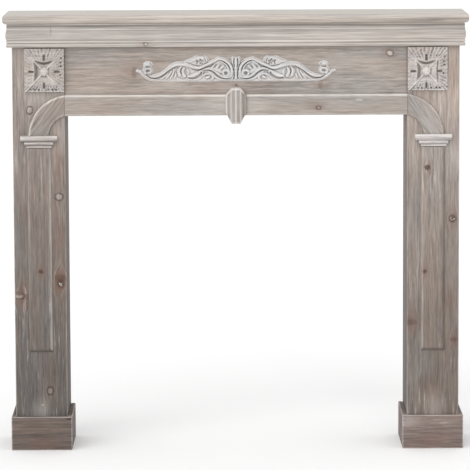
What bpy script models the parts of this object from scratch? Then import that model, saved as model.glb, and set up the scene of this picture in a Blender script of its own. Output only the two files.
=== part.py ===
"""Carved wooden fireplace mantelpiece: two box-built legs, a header with a scroll carving,
a moulded cornice and a shelf. Metres, +Z up, the front faces -Y, the wall is on the +Y side,
and the origin is on the floor at the middle of the overall width and depth."""

import math

import bmesh
import bpy
import numpy as np
from mathutils import Vector

# Hearth opening and legs
OPENING_WIDTH = 0.812
OPENING_HEIGHT = 0.8025
LEG_WIDTH = 0.1235
LEG_DEPTH = 0.175
BOARD_THICKNESS = 0.016

# Plinth boards round each foot
PLINTH_HEIGHT = 0.081
PLINTH_THICKNESS = 0.0105

# Raised panel on each leg's shaft
PANEL_WIDTH = 0.056
PANEL_BOTTOM_HEIGHT = 0.237
PANEL_THICKNESS = 0.006
PANEL_CHAMFER = 0.003

# Capital: a necking, a middle step and an abacus
CAPITAL_WIDTH = 0.0875
CAPITAL_STEP_WIDTH = 0.069
CAPITAL_NECK_WIDTH = 0.060
CAPITAL_ABACUS_HEIGHT = 0.016
CAPITAL_STEP_HEIGHT = 0.008
CAPITAL_NECK_HEIGHT = 0.0045
CAPITAL_PROJECTION = 0.012
CAPITAL_ABACUS_ROUND = 0.005
CAPITAL_STEP_ROUND = 0.002
CAPITAL_RAKE = 0.30

# Lintel rail across the header, and the quarter-round brackets that carry it
RAIL_HEIGHT = 0.0495
RAIL_PROJECTION = 0.006
RAIL_CHAMFER = 0.0025
ARCH_RISE = 0.096
ARCH_CENTRE_INSET = 0.014
ARCH_CENTRE_DROP = 0.0035
ARCH_STEPS = 16

# Frieze board, set back behind the faces of the legs
FRIEZE_HEIGHT = 0.114
FRIEZE_SETBACK = 0.003

# Rosette blocks at the heads of the legs, between the brackets and the cornice
ROSETTE_WIDTH = 0.094
ROSETTE_FOOT_GAP = 0.009
ROSETTE_TOP_GAP = 0.003
ROSETTE_THICKNESS = 0.008
ROSETTE_RELIEF = 0.0065
ROSETTE_GRID = 0.0022
ROSETTE_KEEP = 0.28

# Fluted keystone, notched over the rail
KEYSTONE_WIDTH = 0.049
KEYSTONE_HEIGHT = 0.085
KEYSTONE_CROWN_WIDTH = 0.021
KEYSTONE_TOP_RISE = 0.0165
KEYSTONE_TOP_CUT = 0.017
KEYSTONE_BOTTOM_CUT = 0.026
KEYSTONE_EDGE_PROJECTION = 0.006
KEYSTONE_CROWN_PROJECTION = 0.0135
KEYSTONE_FLUTES = 4
KEYSTONE_FLUTE_PITCH = 0.0115
KEYSTONE_FLUTE_DEPTH = 0.003
KEYSTONE_STEPS = 36

# Scroll carving on the frieze, drawn on a sheet of its own and scaled to this size
SCROLL_WIDTH = 0.470
SCROLL_HEIGHT = 0.0558
SCROLL_RAISE = 0.0034
SCROLL_PLATE = 0.003
SCROLL_RELIEF = 0.0085
SCROLL_GRID = 0.0016
SCROLL_KEEP = 0.17
SCROLL_DRAWN_WIDTH = 470.0
SCROLL_DRAWN_HEIGHT = 63.0
SCROLL_DRAWN_MARGIN = 2.0

# Cornice moulding and shelf
CORNICE_HEIGHT = 0.052
CORNICE_PROJECTION = 0.014
SHELF_THICKNESS = 0.024
SHELF_OVERHANG = 0.0205
SHELF_TOP_RADIUS = 0.005
SHELF_UNDER_RADIUS = 0.008
SHELF_FILLET_HEIGHT = 0.003
SHELF_FILLET_SETBACK = 0.0015

# Joints and arrises
GLUE_GAP = 0.0003
ARRIS = 0.0012

# Heights and planes that follow from the sizes above
OPENING_HALF = OPENING_WIDTH / 2
LEG_OUTER = OPENING_HALF + LEG_WIDTH
LEG_CENTRE = OPENING_HALF + LEG_WIDTH / 2
SHELF_HALF = LEG_OUTER + SHELF_OVERHANG
RAIL_TOP = OPENING_HEIGHT + RAIL_HEIGHT
CORNICE_BOTTOM = RAIL_TOP + FRIEZE_HEIGHT
SHELF_BOTTOM = CORNICE_BOTTOM + CORNICE_HEIGHT
CAPITAL_TOP = RAIL_TOP - ARCH_RISE
CAPITAL_HEIGHT = CAPITAL_ABACUS_HEIGHT + CAPITAL_STEP_HEIGHT + CAPITAL_NECK_HEIGHT
CAPITAL_BOTTOM = CAPITAL_TOP - CAPITAL_HEIGHT
WALL_PLANE = (LEG_DEPTH + SHELF_OVERHANG) / 2
LEG_FACE = WALL_PLANE - LEG_DEPTH
SHELF_FRONT = LEG_FACE - SHELF_OVERHANG
FRIEZE_FACE = LEG_FACE + FRIEZE_SETBACK
BOARD_BACK = LEG_FACE + BOARD_THICKNESS
RAIL_FACE = LEG_FACE - RAIL_PROJECTION

# Limed fir, in linear colour, a little lighter at the top than at the feet
TONES = {
    "shelf": (0.62, 0.56, 0.51),
    "cornice": (0.50, 0.45, 0.42),
    "header": (0.40, 0.35, 0.32),
    "leg": (0.30, 0.25, 0.22),
    "plinth": (0.23, 0.18, 0.16),
    "carving": (0.50, 0.47, 0.44),
}


def clear_scene():
    for thing in list(bpy.data.objects):
        bpy.data.objects.remove(thing, do_unlink=True)


def make_collection(name):
    collection = bpy.data.collections.new(name)
    bpy.context.scene.collection.children.link(collection)
    return collection


def limed_wood(name, tone):
    material = bpy.data.materials.new(name)
    material.use_nodes = True
    shader = material.node_tree.nodes["Principled BSDF"]
    shader.inputs["Base Color"].default_value = (*tone, 1.0)
    shader.inputs["Roughness"].default_value = 0.75
    shader.inputs["Metallic"].default_value = 0.0
    return material


def add_object(name, bm, tone, collection):
    bmesh.ops.recalc_face_normals(bm, faces=bm.faces)
    mesh = bpy.data.meshes.new(name)
    bm.to_mesh(mesh)
    bm.free()
    thing = bpy.data.objects.new(name, mesh)
    thing.data.materials.append(limed_wood(f"{name}_wood", TONES[tone]))
    collection.objects.link(thing)
    return thing


def ease_arrises(thing):
    bevel = thing.modifiers.new("arris", "BEVEL")
    bevel.width = ARRIS
    bevel.segments = 1
    bevel.limit_method = "ANGLE"
    bevel.angle_limit = math.radians(40)


def board(name, low, high, tone, collection):
    """A plain board between two corners, with its arrises eased."""
    low, high = Vector(low), Vector(high)
    bm = bmesh.new()
    bmesh.ops.create_cube(bm, size=1.0)
    bmesh.ops.scale(bm, vec=high - low, verts=bm.verts)
    bmesh.ops.translate(bm, vec=(low + high) / 2, verts=bm.verts)
    thing = add_object(name, bm, tone, collection)
    ease_arrises(thing)
    return thing


def loft(name, rings, tone, collection):
    """A solid through rings of points, one after another, closed by the first and last."""
    bm = bmesh.new()
    loops = []
    for ring in rings:
        verts = [bm.verts.new(point) for point in ring]
        edges = [bm.edges.new((verts[i - 1], verts[i])) for i in range(len(verts))]
        loops.append(edges)
    for lower, upper in zip(loops, loops[1:]):
        bmesh.ops.bridge_loops(bm, edges=lower + upper)
    for end in (loops[0], loops[-1]):
        bmesh.ops.contextual_create(bm, geom=end)
    return add_object(name, bm, tone, collection)


def arc(centre, radius, start_deg, end_deg, steps):
    """Points of an arc in a flat plane, both ends included."""
    angles = np.radians(np.linspace(start_deg, end_deg, steps + 1))
    return [(centre[0] + radius * math.cos(a), centre[1] + radius * math.sin(a)) for a in angles]


def shelf_profile():
    """Inset from the shelf's outline and height, from the underside up."""
    under_centre = (SHELF_UNDER_RADIUS, SHELF_UNDER_RADIUS + SHELF_FILLET_HEIGHT)
    under = arc(under_centre, SHELF_UNDER_RADIUS, -90, -180, 5)
    top_centre = (SHELF_TOP_RADIUS, SHELF_THICKNESS - SHELF_TOP_RADIUS)
    top = arc(top_centre, SHELF_TOP_RADIUS, 180, 90, 4)
    fillet = SHELF_UNDER_RADIUS + SHELF_FILLET_SETBACK
    return [(fillet, 0.0), (fillet, SHELF_FILLET_HEIGHT), *under, *top]


def make_shelf(collection):
    rings = []
    for inset, height in shelf_profile():
        x = SHELF_HALF - inset
        front = SHELF_FRONT + inset
        z = SHELF_BOTTOM + height
        rings.append([(-x, front, z), (x, front, z), (x, WALL_PLANE, z), (-x, WALL_PLANE, z)])
    return loft("mantel_shelf", rings, "shelf", collection)


def cornice_profile():
    """Projection and height of the moulding, from its lower back edge round to its upper one."""
    full, tall = CORNICE_PROJECTION, CORNICE_HEIGHT - GLUE_GAP
    bead = [(0.75, 0.0), (0.88, 0.04), (0.93, 0.09), (0.88, 0.15), (0.80, 0.18)]
    ledge = [(0.80, 0.20), (0.91, 0.22), (0.91, 0.28), (0.77, 0.31)]
    band = [(0.79 + 0.21 * math.cos(a), 0.555 + 0.235 * math.sin(a)) for a in np.linspace(-1.4, 1.4, 9)]
    cove = [(0.89, 0.83), (0.89, 0.855), (0.72, 0.885), (0.72, 0.94), (0.80, 0.965), (0.80, 1.0)]
    shares = [*bead, *ledge, *band, *cove]
    back = GLUE_GAP
    return [(back, 0.0), *[(full * out, tall * up) for out, up in shares], (back, tall)]


def make_cornice(collection):
    """A front length and two returns, mitred at the corners."""
    profile = cornice_profile()
    z0 = CORNICE_BOTTOM

    def at_corner(side, gap_x, gap_y):
        return [(side * (LEG_OUTER + out - gap_x), LEG_FACE - out - gap_y, z0 + z) for out, z in profile]

    front = [at_corner(-1, GLUE_GAP, 0), at_corner(1, GLUE_GAP, 0)]
    loft("cornice_front", front, "cornice", collection)
    for side, word in ((-1, "left"), (1, "right")):
        at_wall = [(side * (LEG_OUTER + out), WALL_PLANE, z0 + z) for out, z in profile]
        rings = [at_corner(side, 0, -GLUE_GAP), at_wall]
        loft(f"cornice_return_{word}", rings, "cornice", collection)


def make_header(collection):
    half = OPENING_HALF - GLUE_GAP
    top = SHELF_BOTTOM - GLUE_GAP
    board("frieze_board", (-half, FRIEZE_FACE, OPENING_HEIGHT), (half, FRIEZE_FACE + BOARD_THICKNESS, top),
          "header", collection)
    soffit_front = FRIEZE_FACE + BOARD_THICKNESS + GLUE_GAP
    board("header_soffit", (-half, soffit_front, OPENING_HEIGHT),
          (half, WALL_PLANE, OPENING_HEIGHT + BOARD_THICKNESS), "header", collection)


def raised_strip(name, low, high, chamfer, tone, collection):
    """A flat strip planted on a face, its front edges chamfered all round."""
    (x0, back, z0), (x1, front, z1) = low, high
    rings = []
    for y, inset in ((back, 0.0), (front + chamfer, 0.0), (front, chamfer)):
        left, right, bottom, top = x0 + inset, x1 - inset, z0 + inset, z1 - inset
        rings.append([(left, y, bottom), (right, y, bottom), (right, y, top), (left, y, top)])
    return loft(name, rings, tone, collection)


def make_rail(collection):
    """The rail butts against the brackets, so only its long edges are chamfered."""
    half = OPENING_HALF - GLUE_GAP
    back, chamfer = FRIEZE_FACE - GLUE_GAP, RAIL_CHAMFER
    section = [(back, OPENING_HEIGHT), (RAIL_FACE + chamfer, OPENING_HEIGHT)]
    section += [(RAIL_FACE, OPENING_HEIGHT + chamfer), (RAIL_FACE, RAIL_TOP - chamfer)]
    section += [(RAIL_FACE + chamfer, RAIL_TOP), (back, RAIL_TOP)]
    rings = [[(x, y, z) for y, z in section] for x in (-half, half)]
    return loft("lintel_rail", rings, "header", collection)


def make_leg(side, word, collection):
    top = SHELF_BOTTOM - GLUE_GAP
    inner, outer = side * OPENING_HALF, side * LEG_OUTER

    def between(name, x_a, x_b, y0, y1, z0, z1, tone):
        low, high = (min(x_a, x_b), y0, z0), (max(x_a, x_b), y1, z1)
        return board(f"{name}_{word}", low, high, tone, collection)

    between("leg_front_board", inner, outer, LEG_FACE, BOARD_BACK, 0.0, top, "leg")
    side_front = BOARD_BACK + GLUE_GAP
    inset = side * BOARD_THICKNESS
    between("leg_outer_board", outer - inset, outer, side_front, WALL_PLANE, 0.0, top, "leg")
    between("leg_inner_board", inner, inner + inset, side_front, WALL_PLANE, 0.0, top, "leg")

    gap = side * GLUE_GAP
    wrap = side * (GLUE_GAP + PLINTH_THICKNESS)
    plinth_front = LEG_FACE - GLUE_GAP - PLINTH_THICKNESS
    between("plinth_front", inner - wrap, outer + wrap, plinth_front, LEG_FACE - GLUE_GAP,
            0.0, PLINTH_HEIGHT, "plinth")
    between("plinth_outer", outer + gap, outer + wrap, LEG_FACE, WALL_PLANE, 0.0, PLINTH_HEIGHT, "plinth")
    between("plinth_inner", inner - gap, inner - wrap, LEG_FACE, WALL_PLANE, 0.0, PLINTH_HEIGHT, "plinth")


def make_shaft_panel(side, word, collection):
    x = side * LEG_CENTRE
    back = LEG_FACE - GLUE_GAP
    low = (x - PANEL_WIDTH / 2, back, PANEL_BOTTOM_HEIGHT)
    high = (x + PANEL_WIDTH / 2, LEG_FACE - PANEL_THICKNESS, CAPITAL_BOTTOM - GLUE_GAP)
    return raised_strip(f"shaft_panel_{word}", low, high, PANEL_CHAMFER, "leg", collection)


def rounded_step(half, low, high, radius):
    """Half width and height up one step of the capital, its lower and upper corners rounded."""
    lower = arc((half - radius, low + radius), radius, -90, 0, 3)
    upper = arc((half - radius, high - radius), radius, 0, 90, 3)
    return lower + upper


def capital_profile():
    """Half width, projection and height of the capital, from its foot up."""
    neck, step, wide = CAPITAL_NECK_WIDTH / 2, CAPITAL_STEP_WIDTH / 2, CAPITAL_WIDTH / 2
    step_top = CAPITAL_NECK_HEIGHT + CAPITAL_STEP_HEIGHT
    rows = [(neck, 0.0), (neck, CAPITAL_NECK_HEIGHT)]
    rows += rounded_step(step, CAPITAL_NECK_HEIGHT, step_top, CAPITAL_STEP_ROUND)
    rows += rounded_step(wide, step_top, CAPITAL_HEIGHT, CAPITAL_ABACUS_ROUND)
    return [(half, CAPITAL_PROJECTION - (wide - half) * CAPITAL_RAKE, z) for half, z in rows]


def make_capital(side, word, collection):
    x = side * LEG_CENTRE
    back = LEG_FACE - GLUE_GAP
    rings = []
    for half, out, height in capital_profile():
        y = LEG_FACE - out
        z = CAPITAL_BOTTOM + height
        rings.append([(x - half, y, z), (x + half, y, z), (x + half, back, z), (x - half, back, z)])
    return loft(f"capital_{word}", rings, "carving", collection)


def arch_outline(inset):
    """The bracket's outline in front view for the right leg, drawn in by an even inset."""
    centre_x = OPENING_HALF - ARCH_CENTRE_INSET
    centre_z = CAPITAL_TOP - ARCH_CENTRE_DROP
    joint = ARCH_CENTRE_INSET + GLUE_GAP
    foot = ARCH_CENTRE_DROP + GLUE_GAP
    outline = []
    outer = math.hypot(ARCH_CENTRE_INSET, RAIL_TOP - centre_z) - inset
    inner = math.hypot(ARCH_CENTRE_INSET, OPENING_HEIGHT - centre_z) + inset
    for radius, turn in ((outer, 1), (inner, -1)):
        low = math.degrees(math.asin(foot / radius))
        high = math.degrees(math.acos(joint / radius))
        start, end = (low, high) if turn > 0 else (high, low)
        outline += arc((centre_x, centre_z), radius, start, end, ARCH_STEPS)
    return outline


def make_arch(side, word, collection):
    rings = []
    for y, inset in ((LEG_FACE - GLUE_GAP, 0.0), (RAIL_FACE + RAIL_CHAMFER, 0.0), (RAIL_FACE, RAIL_CHAMFER)):
        rings.append([(side * x, y, z) for x, z in arch_outline(inset)])
    return loft(f"arch_bracket_{word}", rings, "header", collection)


def keystone_section():
    """Plan of the keystone's face: crowned across its width, with the flutes scooped out of it."""
    half = KEYSTONE_WIDTH / 2
    rise = KEYSTONE_CROWN_PROJECTION - KEYSTONE_EDGE_PROJECTION
    xs = np.linspace(-half, half, KEYSTONE_STEPS + 1)
    points = []
    for x in xs:
        body = KEYSTONE_EDGE_PROJECTION + rise * (1 - (x / half) ** 2)
        phase = x / KEYSTONE_FLUTE_PITCH
        inside = abs(phase) < KEYSTONE_FLUTES / 2
        scoop = KEYSTONE_FLUTE_DEPTH * abs(math.sin(math.pi * phase)) if inside else 0.0
        points.append((x, RAIL_FACE - body + scoop))
    return points


def cut_corner(bm, a, b, keep):
    """Cuts the solid by the plane through two front-view points, along Y, keeping one side."""
    across = Vector((b[0] - a[0], 0.0, b[1] - a[1]))
    normal = across.cross(Vector((0, 1, 0))).normalized()
    middle = Vector((a[0], 0.0, a[1]))
    if (Vector((keep[0], 0.0, keep[1])) - middle).dot(normal) > 0:
        normal = -normal
    geom = list(bm.verts) + list(bm.edges) + list(bm.faces)
    cut = bmesh.ops.bisect_plane(bm, geom=geom, plane_co=middle, plane_no=normal, clear_outer=True)
    rim = [e for e in cut["geom_cut"] if isinstance(e, bmesh.types.BMEdge)]
    bmesh.ops.contextual_create(bm, geom=rim)


def make_keystone(collection, cutters):
    top = RAIL_TOP + KEYSTONE_TOP_RISE
    bottom = top - KEYSTONE_HEIGHT
    back = FRIEZE_FACE - GLUE_GAP
    half, crown = KEYSTONE_WIDTH / 2, KEYSTONE_CROWN_WIDTH / 2
    section = keystone_section() + [(half, back), (-half, back)]
    thing = loft("keystone", [[(x, y, z) for x, y in section] for z in (bottom, top)], "carving", collection)
    bm = bmesh.new()
    bm.from_mesh(thing.data)
    middle = (0.0, (top + bottom) / 2)
    for side in (-1, 1):
        cut_corner(bm, (side * half, top - KEYSTONE_TOP_CUT), (side * crown, top), middle)
        cut_corner(bm, (side * half, bottom + KEYSTONE_BOTTOM_CUT), (side * crown, bottom), middle)
    bmesh.ops.recalc_face_normals(bm, faces=bm.faces)
    bm.to_mesh(thing.data)
    bm.free()

    reach = KEYSTONE_WIDTH
    low = (-reach, RAIL_FACE - GLUE_GAP, OPENING_HEIGHT - GLUE_GAP)
    high = (reach, FRIEZE_FACE + GLUE_GAP, RAIL_TOP + GLUE_GAP)
    notch = board("keystone_notch", low, high, "carving", cutters)
    notch.modifiers.clear()
    notch.hide_render = True
    notch.display_type = "WIRE"
    cut = thing.modifiers.new("notch over the rail", "BOOLEAN")
    cut.operation = "DIFFERENCE"
    cut.solver = "EXACT"
    cut.object = notch
    return thing


def smooth_path(points, steps=14):
    """A smooth curve through a few points, as Catmull-Rom spans."""
    pts = np.array([points[0], *points, points[-1]], dtype=float)
    t = np.linspace(0, 1, steps, endpoint=False)[:, None]
    spans = []
    for p0, p1, p2, p3 in zip(pts, pts[1:], pts[2:], pts[3:]):
        a = 2 * p1 + (p2 - p0) * t
        b = (2 * p0 - 5 * p1 + 4 * p2 - p3) * t ** 2
        c = (3 * p1 - p0 - 3 * p2 + p3) * t ** 3
        spans.append((a + b + c) / 2)
    return np.vstack([*spans, pts[-1:]])


def curl(centre, radius, end_radius, start_deg, turn_deg, steps=40):
    """A spiral that winds from one radius to another."""
    t = np.linspace(0, 1, steps)
    angle = np.radians(start_deg + turn_deg * t)
    r = radius + (end_radius - radius) * t
    return np.stack([centre[0] + r * np.cos(angle), centre[1] + r * np.sin(angle)], axis=1)


def tapered(path, start, middle, end):
    """Half widths along a path, from three values by a parabola."""
    t = np.linspace(0, 1, len(path))
    return start * (1 - t) * (1 - 2 * t) + 4 * middle * t * (1 - t) + end * t * (2 * t - 1)


def ridge_field(u, v, path, widths):
    """How far up a round-backed ridge each point lies, from 0 at its foot to 1 on its line."""
    field = np.zeros_like(u)
    for (x, z), w in zip(path, widths):
        near = 1 - ((u - x) ** 2 + (v - z) ** 2) / w ** 2
        field = np.maximum(field, near)
    return np.sqrt(np.clip(field, 0, None))


def reach_field(u, v, path, widths):
    """How far inside the strip along a path each point lies."""
    field = np.full_like(u, -SCROLL_DRAWN_WIDTH)
    for (x, z), w in zip(path, widths):
        field = np.maximum(field, w - np.hypot(u - x, v - z))
    return field


def scroll_ridges():
    """The raised strokes of the scroll's left half, on its drawn sheet: path, half widths, height share."""
    ridges = []

    def ridge(points, widths, height):
        path = smooth_path(points)
        ridges.append((path, tapered(path, *widths), height))

    def spiral(centre, radii, start_deg, turn_deg, widths, height):
        path = curl(centre, *radii, start_deg, turn_deg)
        ridges.append((path, tapered(path, *widths), height))

    # Main stem: from the end curl over the crest, and on to the peak beside the palmette
    ridge([(-205, -21), (-186, -18), (-172, -9), (-158, 1), (-144, 9), (-127, 13), (-113, 9), (-99, 4)],
          (5.0, 8.5, 5.0), 0.80)
    ridge([(-113, 10), (-99, 4), (-85, 3), (-73, 8), (-59, 17), (-41, 26)], (5.0, 5.0, 3.2), 0.85)
    # End curl with its spur and the bud above it
    spiral((-210, -7), (12.5, 8), 235, -300, (5.0, 4.6, 3.4), 0.90)
    ridge([(-233, -4), (-224, -8)], (1.6, 2.6, 3.0), 0.55)
    ridge([(-210, 15), (-209, 5)], (5.5, 6.0, 4.5), 0.75)
    # Acanthus leaf on the crest, curling over at its tip
    ridge([(-122, 14), (-108, 22), (-94, 27), (-82, 28), (-73, 25), (-71, 19), (-77, 15)],
          (6.0, 7.5, 3.2), 0.80)
    ridge([(-110, 12), (-96, 16), (-84, 12)], (5.0, 6.5, 4.0), 0.65)
    # Open scroll beside the palmette, with its eye
    ridge([(-41, 26), (-28, 22), (-18, 15), (-11, 5), (-9, -7), (-11, -18), (-17, -24)],
          (3.2, 4.2, 3.4), 0.90)
    spiral((-24, -11), (9, 7), 250, 330, (4.0, 4.4, 4.0), 0.80)
    ridge([(-86, -7), (-78, -1), (-66, 1), (-54, -3), (-45, -11), (-36, -18), (-26, -23), (-16, -23)],
          (3.0, 4.0, 3.4), 0.85)
    for k in range(3):
        ridge([(-58 + 11 * k, 2 - k), (-51 + 11 * k, 12 - 2 * k)], (3.2, 3.6, 3.0), 0.62)
    ridge([(-52, -1), (-42, -4), (-35, -9)], (4.0, 5.0, 3.5), 0.60)
    # Small scroll and ball below
    ridge([(-77, -16), (-68, -13), (-59, -15), (-54, -22), (-58, -28)], (3.4, 3.2, 3.0), 0.70)
    ridge([(-69, -24), (-64, -19)], (3.2, 3.6, 3.2), 0.85)
    ridge([(-64, -8), (-54, -14), (-47, -22), (-38, -27), (-19, -29)], (3.0, 3.2, 2.6), 0.55)
    # Leaves under the crest and the fluted fan beside them
    ridge([(-83, -8), (-94, -14), (-106, -20)], (5.0, 8.0, 5.0), 0.80)
    ridge([(-78, -7), (-79, -17), (-86, -25), (-99, -29)], (2.6, 3.0, 2.6), 0.55)
    ridge([(-125, 0), (-129, -8), (-130, -17)], (5.0, 7.0, 5.5), 0.75)
    ridge([(-118, -3), (-113, -13), (-118, -21)], (3.5, 4.2, 3.5), 0.70)
    for k in range(4):
        foot, knee, head = (-176 + 11 * k, -26), (-167 + 10 * k, -19 + 2 * k), (-159 + 8 * k, -10 + 3 * k)
        ridge([foot, knee, head], (2.8, 3.6, 3.2), 0.62)
    # Lip along the lower edge
    ridge([(-229, -11), (-224, -20), (-212, -28), (-196, -29), (-160, -29), (-113, -29), (-61, -29),
           (0, -29)], (2.6, 2.6, 2.4), 0.38)
    return ridges


def scroll_grooves():
    """The cuts that part the strokes of the left half: path, half widths, depth share."""
    grooves = []
    for points in (
        [(-207, -25), (-196, -25), (-181, -22), (-170, -15), (-158, -6), (-148, 1), (-137, 4)],
        [(-137, 4), (-122, 2), (-108, -1), (-94, -3), (-80, -1), (-68, 4), (-57, 10)],
        [(-8, -8), (-9, -1), (-14, 5), (-24, 9), (-33, 13), (-42, 15), (-52, 12)],
        [(-77, -13), (-72, -6), (-62, -4), (-53, -9), (-44, -18), (-34, -24), (-22, -26), (-14, -24)],
        [(-111, -24), (-100, -25), (-91, -21), (-84, -15), (-82, -10)],
        [(-84, 26), (-87, 19), (-84, 12)],
    ):
        path = smooth_path(points)
        grooves.append((path, tapered(path, 1.6, 2.2, 1.6), 0.45))
    return grooves


def palmette_ridges():
    """The leaf and husk on the middle line, and the pair of strokes beside the leaf."""
    leaf = smooth_path([(0, -2), (0, 12), (0, 24)])
    husk = smooth_path([(0, -5), (0, -15), (0, -25)])
    flank = smooth_path([(-7, 27), (-8, 16), (-4, 2)])
    foot = smooth_path([(-9, -26), (-5, -18)])
    return [(leaf, tapered(leaf, 3.0, 6.2, 4.5), 1.0), (husk, tapered(husk, 4.5, 4.5, 3.5), 0.75),
            (flank, tapered(flank, 2.4, 2.8, 2.2), 0.70), (foot, tapered(foot, 2.6, 2.8, 2.4), 0.60)]


def both_sides(strokes):
    """The strokes of the left half together with their mirror images."""
    flip = np.array([-1, 1])
    return strokes + [(path * flip, widths, share) for path, widths, share in strokes]


def scroll_fields(u, v):
    """Height share and reach of the whole scroll over a grid in metres from its middle."""
    unit_x, unit_z = SCROLL_WIDTH / SCROLL_DRAWN_WIDTH, SCROLL_HEIGHT / SCROLL_DRAWN_HEIGHT
    x, z = u / unit_x, v / unit_z
    height, reach = np.zeros_like(u), np.full_like(u, -SCROLL_DRAWN_WIDTH)
    for path, widths, share in both_sides(scroll_ridges() + palmette_ridges()):
        height = np.maximum(height, share * ridge_field(x, z, path, widths))
        reach = np.maximum(reach, reach_field(x, z, path, widths) + SCROLL_DRAWN_MARGIN)
    for path, widths, share in both_sides(scroll_grooves()):
        height = height - share * ridge_field(x, z, path, widths)
    return np.clip(height, 0, 1), reach


def rosette_fields(u, v, half_width, half_height):
    """Height share of the square rosette over a grid in metres from its middle."""
    x, z = np.abs(u) / half_width, np.abs(v) / half_height
    radius, angle = np.hypot(x, z), np.arctan2(z, x)
    edge = np.maximum(x, z)
    corner = np.abs(np.sin(2 * angle))
    button = np.sqrt(np.clip(1 - (radius / 0.21) ** 2, 0, None))
    arm = 0.80 * np.clip(1 - (np.abs(x - z) / 0.12) ** 2, 0, 1) * (radius > 0.2)
    star = 0.60 * np.clip((0.29 + 0.42 * corner ** 4 - radius) / 0.10, 0, 1)
    rim = 0.36 + 0.22 * corner ** 3
    lobes = 0.5 + 0.5 * np.cos(16 * angle)
    slope = 0.85 - 0.45 * np.clip((radius - rim) / 0.5, 0, 1)
    leaf = (slope - 0.25 * (1 - lobes)) * np.clip((radius - rim) / 0.09, 0, 1)
    leaf *= np.clip((0.90 - edge) / 0.06, 0, 1)
    border = 0.50 * np.clip((edge - 0.91) / 0.03, 0, 1)
    height = np.max([button, star, arm, leaf, border], axis=0)
    slot = np.clip(1 - np.minimum(x, z) / 0.055, 0, 1) * (radius > 0.44) * (radius < 0.80)
    return np.clip(height - 0.8 * slot, 0, 1)


def keep_largest(cells):
    """Only the largest island of cells, with its holes and corner-only contacts filled."""
    label = np.where(cells, np.arange(1, cells.size + 1).reshape(cells.shape), 0)
    while True:
        grown = label.copy()
        for axis in (0, 1):
            for shift in (-1, 1):
                grown = np.maximum(grown, np.roll(label, shift, axis))
        grown = np.where(cells, grown, 0)
        if np.array_equal(grown, label):
            break
        label = grown
    names, counts = np.unique(label[label > 0], return_counts=True)
    return label == names[np.argmax(counts)]


def solid_cells(reach):
    """Cells of the grid that hold wood, as one island with no pinholes."""
    cells = (reach[:-1, :-1] + reach[1:, :-1] + reach[:-1, 1:] + reach[1:, 1:]) / 4 > 0
    cells = np.pad(cells, 2)
    cells = keep_largest(cells)
    cells = ~keep_largest(~cells)
    changed = True
    while changed:
        a, b = cells[:-1, :-1], cells[1:, 1:]
        c, d = cells[1:, :-1], cells[:-1, 1:]
        rising, falling = a & b & ~c & ~d, ~a & ~b & c & d
        changed = bool(rising.any() or falling.any())
        cells[1:, :-1] |= rising
        cells[:-1, :-1] |= falling
    return cells[2:-2, 2:-2]


def relief_solid(name, u, v, front, cells, back, keep, collection):
    """A carved slab: a grid lifted to its front heights, walled round its edge, flat behind."""
    bm = bmesh.new()
    rows, columns = u.shape
    used = np.zeros((rows, columns), dtype=bool)
    for di in (0, 1):
        for dj in (0, 1):
            used[di:rows - 1 + di, dj:columns - 1 + dj] |= cells
    verts = {}
    for i, j in zip(*np.nonzero(used)):
        verts[i, j] = bm.verts.new((u[i, j], front[i, j], v[i, j]))
    for i, j in zip(*np.nonzero(cells)):
        bm.faces.new((verts[i, j], verts[i, j + 1], verts[i + 1, j + 1], verts[i + 1, j]))
    rim = [edge for edge in bm.edges if len(edge.link_faces) == 1]
    for _ in range(3):
        places = {}
        for edge in rim:
            for a, b in (edge.verts, reversed(edge.verts)):
                places.setdefault(a, []).append(b.co.copy())
        moves = {vert: (near[0] + near[1]) / 2 for vert, near in places.items() if len(near) == 2}
        for vert, target in moves.items():
            vert.co = (vert.co + target) / 2
    wall = bmesh.ops.extrude_edge_only(bm, edges=rim)
    wall_verts = [g for g in wall["geom"] if isinstance(g, bmesh.types.BMVert)]
    for vert in wall_verts:
        vert.co.y = back
    bottom = [edge for edge in bm.edges if len(edge.link_faces) == 1]
    bmesh.ops.holes_fill(bm, edges=bottom, sides=0)
    big = [face for face in bm.faces if len(face.verts) > 4]
    bmesh.ops.triangulate(bm, faces=big)
    thing = add_object(name, bm, "carving", collection)
    thin = thing.modifiers.new("fewer faces", "DECIMATE")
    thin.decimate_type = "COLLAPSE"
    thin.ratio = keep
    thin.use_collapse_triangulate = True
    return thing


def grid_over(width, height, step):
    columns = max(2, round(width / step))
    rows = max(2, round(height / step))
    return np.meshgrid(np.linspace(-width / 2, width / 2, columns + 1),
                       np.linspace(-height / 2, height / 2, rows + 1))


def make_rosettes(collection):
    height = FRIEZE_HEIGHT - ROSETTE_FOOT_GAP - ROSETTE_TOP_GAP
    u, v = grid_over(ROSETTE_WIDTH, height, ROSETTE_GRID)
    share = rosette_fields(u, v, ROSETTE_WIDTH / 2, height / 2)
    front = -ROSETTE_THICKNESS - ROSETTE_RELIEF * share
    cells = np.ones((u.shape[0] - 1, u.shape[1] - 1), dtype=bool)
    z = RAIL_TOP + ROSETTE_FOOT_GAP + height / 2
    for side, word in ((-1, "left"), (1, "right")):
        thing = relief_solid(f"rosette_block_{word}", u, v, front, cells, 0.0, ROSETTE_KEEP, collection)
        thing.location = (side * (OPENING_HALF + ROSETTE_WIDTH / 2), LEG_FACE - GLUE_GAP, z)


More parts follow.
